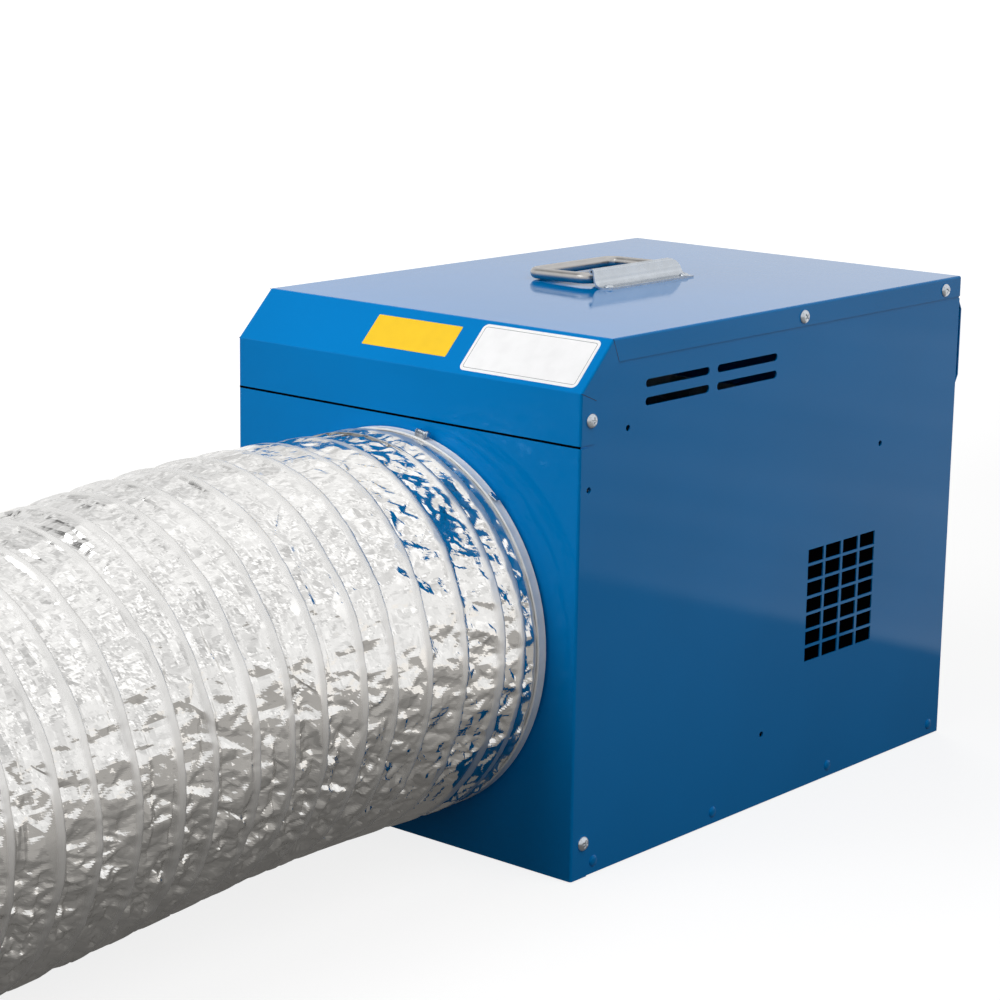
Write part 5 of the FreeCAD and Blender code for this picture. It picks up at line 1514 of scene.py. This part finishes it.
@dataclass
class Controls:
    """Fluted knobs with white marks, dial scales and domed lamps on the rear control panel."""

    skirt: float = 20.0 * MM
    flutes: int = 26
    flute_depth: float = 0.045
    columns: int = 208
    tick_radius: float = 24.6 * MM
    number_radius: float = 30.0 * MM
    number_size: float = 5.4 * MM
    minor: int = 3
    lamp_columns: int = 48
    knob_rings: tuple[Triple, ...] = (
        (0.01, 0.0, 0), (19.4, 0.0, 0), (20.0, 0.6, 0), (20.0, 2.2, 0), (19.3, 2.9, 0),
        (17.4, 3.1, 0), (17.0, 3.6, 0.5), (16.9, 4.6, 1), (16.3, 9.0, 1), (15.7, 13.2, 1),
        (15.2, 14.2, 0.6), (14.3, 14.9, 0), (12.6, 15.0, 0), (12.0, 14.5, 0), (0.01, 14.5, 0),
    )
    lens: tuple[Pair, ...] = (
        (0.01, 0.0), (7.0, 0.0), (7.0, 1.4), (6.6, 2.5), (5.6, 3.6), (4.0, 4.5), (2.0, 4.9), (0.01, 5.0),
    )
    bezel: tuple[Pair, ...] = ((7.02, 0.0), (8.6, 0.0), (8.6, 0.9), (8.2, 1.3), (7.3, 1.3), (7.02, 1.0))

    def knob(self, node: str, body: Body) -> None:
        """Replace a knob.

        Args:
            node: Its node.
            body: Body that it turns with.
        """
        low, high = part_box(node)
        angles = circle(self.columns)
        flute = self.flute_depth * (0.5 - 0.5 * np.cos(self.flutes * angles)) ** 2
        loops = [ring(r * MM * (1 - depth * flute), angles, h * MM) for r, h, depth in self.knob_rings]
        place = on_rear((low.x + high.x) / 2, low.y, low.z + self.skirt)
        shape = Shape()
        shape.add(moved(np.concatenate(loops), place), ring_faces(len(loops), self.columns))
        for size, spot, finish in (
            ((5.0, 21.0, 2.7), (0, 3.6, 14.4), 0),
            ((1.3, 11.0, 0.12), (0, 7.2, 17.1), 1),
            ((1.3, 0.5, 9.5), (0, 15.7, 4.2), 1),
        ):
            points, faces = block(tuple(v * MM for v in size), min(size) * 0.3 * MM)
            shape.add(moved(points + np.array(spot) * MM, place), faces, finish)
        piece = shape.object(f"{node}_fluted", [SHOP.of(Slot.BLACK), SHOP.material(WHITE_INK)])
        settle(piece, body, (node,))

    def number(self, text: str) -> Patch:
        """A dial number as a thin raised print, centred on the origin.

        Args:
            text: The number.

        Returns:
            Points and faces.
        """
        curve = bpy.data.curves.new("number", "FONT")
        curve.body = text
        curve.size = self.number_size
        curve.extrude = 0.03 * MM
        curve.align_x, curve.align_y = "CENTER", "CENTER"
        holder = bpy.data.objects.new("number", curve)
        bpy.context.scene.collection.objects.link(holder)
        mesh = bpy.data.meshes.new_from_object(holder.evaluated_get(bpy.context.evaluated_depsgraph_get()))
        points = np.array([v.co for v in mesh.vertices])
        faces = [tuple(p.vertices) for p in mesh.polygons]
        bpy.data.objects.remove(holder)
        bpy.data.curves.remove(curve)
        bpy.data.meshes.remove(mesh)
        return points, faces

    def dial(self, node: str, step: float, labels: tuple[str, ...]) -> None:
        """Print a scale round a knob.

        Args:
            node: The knob's node.
            step: Degrees between numbers, clockwise from the top.
            labels: The numbers.
        """
        low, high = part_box(node)
        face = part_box("control_panel")[1].y
        place = on_rear((low.x + high.x) / 2, face, low.z + self.skirt)
        shape = Shape()
        for k in range((len(labels) - 1) * self.minor + 1):
            long = k % self.minor == 0
            points, faces = block((0.7 * MM, (3.4 if long else 1.8) * MM, 0.05 * MM), 0.01 * MM)
            turn = Matrix.Rotation(-math.radians(k * step / self.minor), 4, "Z")
            shape.add(moved(points + np.array((0, self.tick_radius, 0)), place @ turn), faces)
        for k, text in enumerate(labels):
            angle = math.radians(k * step)
            points, faces = self.number(text)
            spot = np.array((math.sin(angle), math.cos(angle), 0)) * self.number_radius
            shape.add(moved(points + spot + np.array((0, 0, 0.03 * MM)), place), faces)
        settle(shape.object(f"{node}_scale", [SHOP.material(WHITE_INK)]), Body.CASING)

    def lamps(self) -> None:
        """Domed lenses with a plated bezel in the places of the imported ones."""
        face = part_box("control_panel")[1].y
        lens, bezel = (turned([(r * MM, h * MM) for r, h in profile], self.lamp_columns)
                       for profile in (self.lens, self.bezel))
        shape = Shape()
        for low, high in solids_of("lamp_lenses", 20 * MM):
            place = on_rear((low.x + high.x) / 2, face, (low.z + high.z) / 2)
            shape.add(moved(lens[0], place), lens[1])
            shape.add(moved(bezel[0], place), ring_faces(len(self.bezel), self.lamp_columns, True), 1)
        piece = shape.object("lamp_lenses_domed", [SHOP.of(Slot.AMBER), SHOP.of(Slot.ZINC)])
        settle(piece, Body.CASING, ("lamp_lenses",))

    def build(self) -> None:
        """Make the knobs, scales and lamps."""
        self.knob("thermostat_knob", Body.THERMOSTAT)
        self.knob("selector_knob", Body.SELECTOR)
        self.dial("thermostat_knob", 45.0, ("0", "1", "2", "3", "4", "5", "6"))
        self.dial("selector_knob", 45.0, ("0", "1", "2", "3"))
        self.lamps()


def main() -> None:
    """Build the studio and every sub-assembly."""
    logging.basicConfig(level=logging.INFO, format="%(message)s")
    Studio().build()
    Construction().dress()
    FoilDuct().build()
    Fasteners().build()
    NosePlates().build()
    HoseClip().build()
    Handle().build()
    Trim().build()
    Controls().build()


if __name__ == "__main__":
    main()
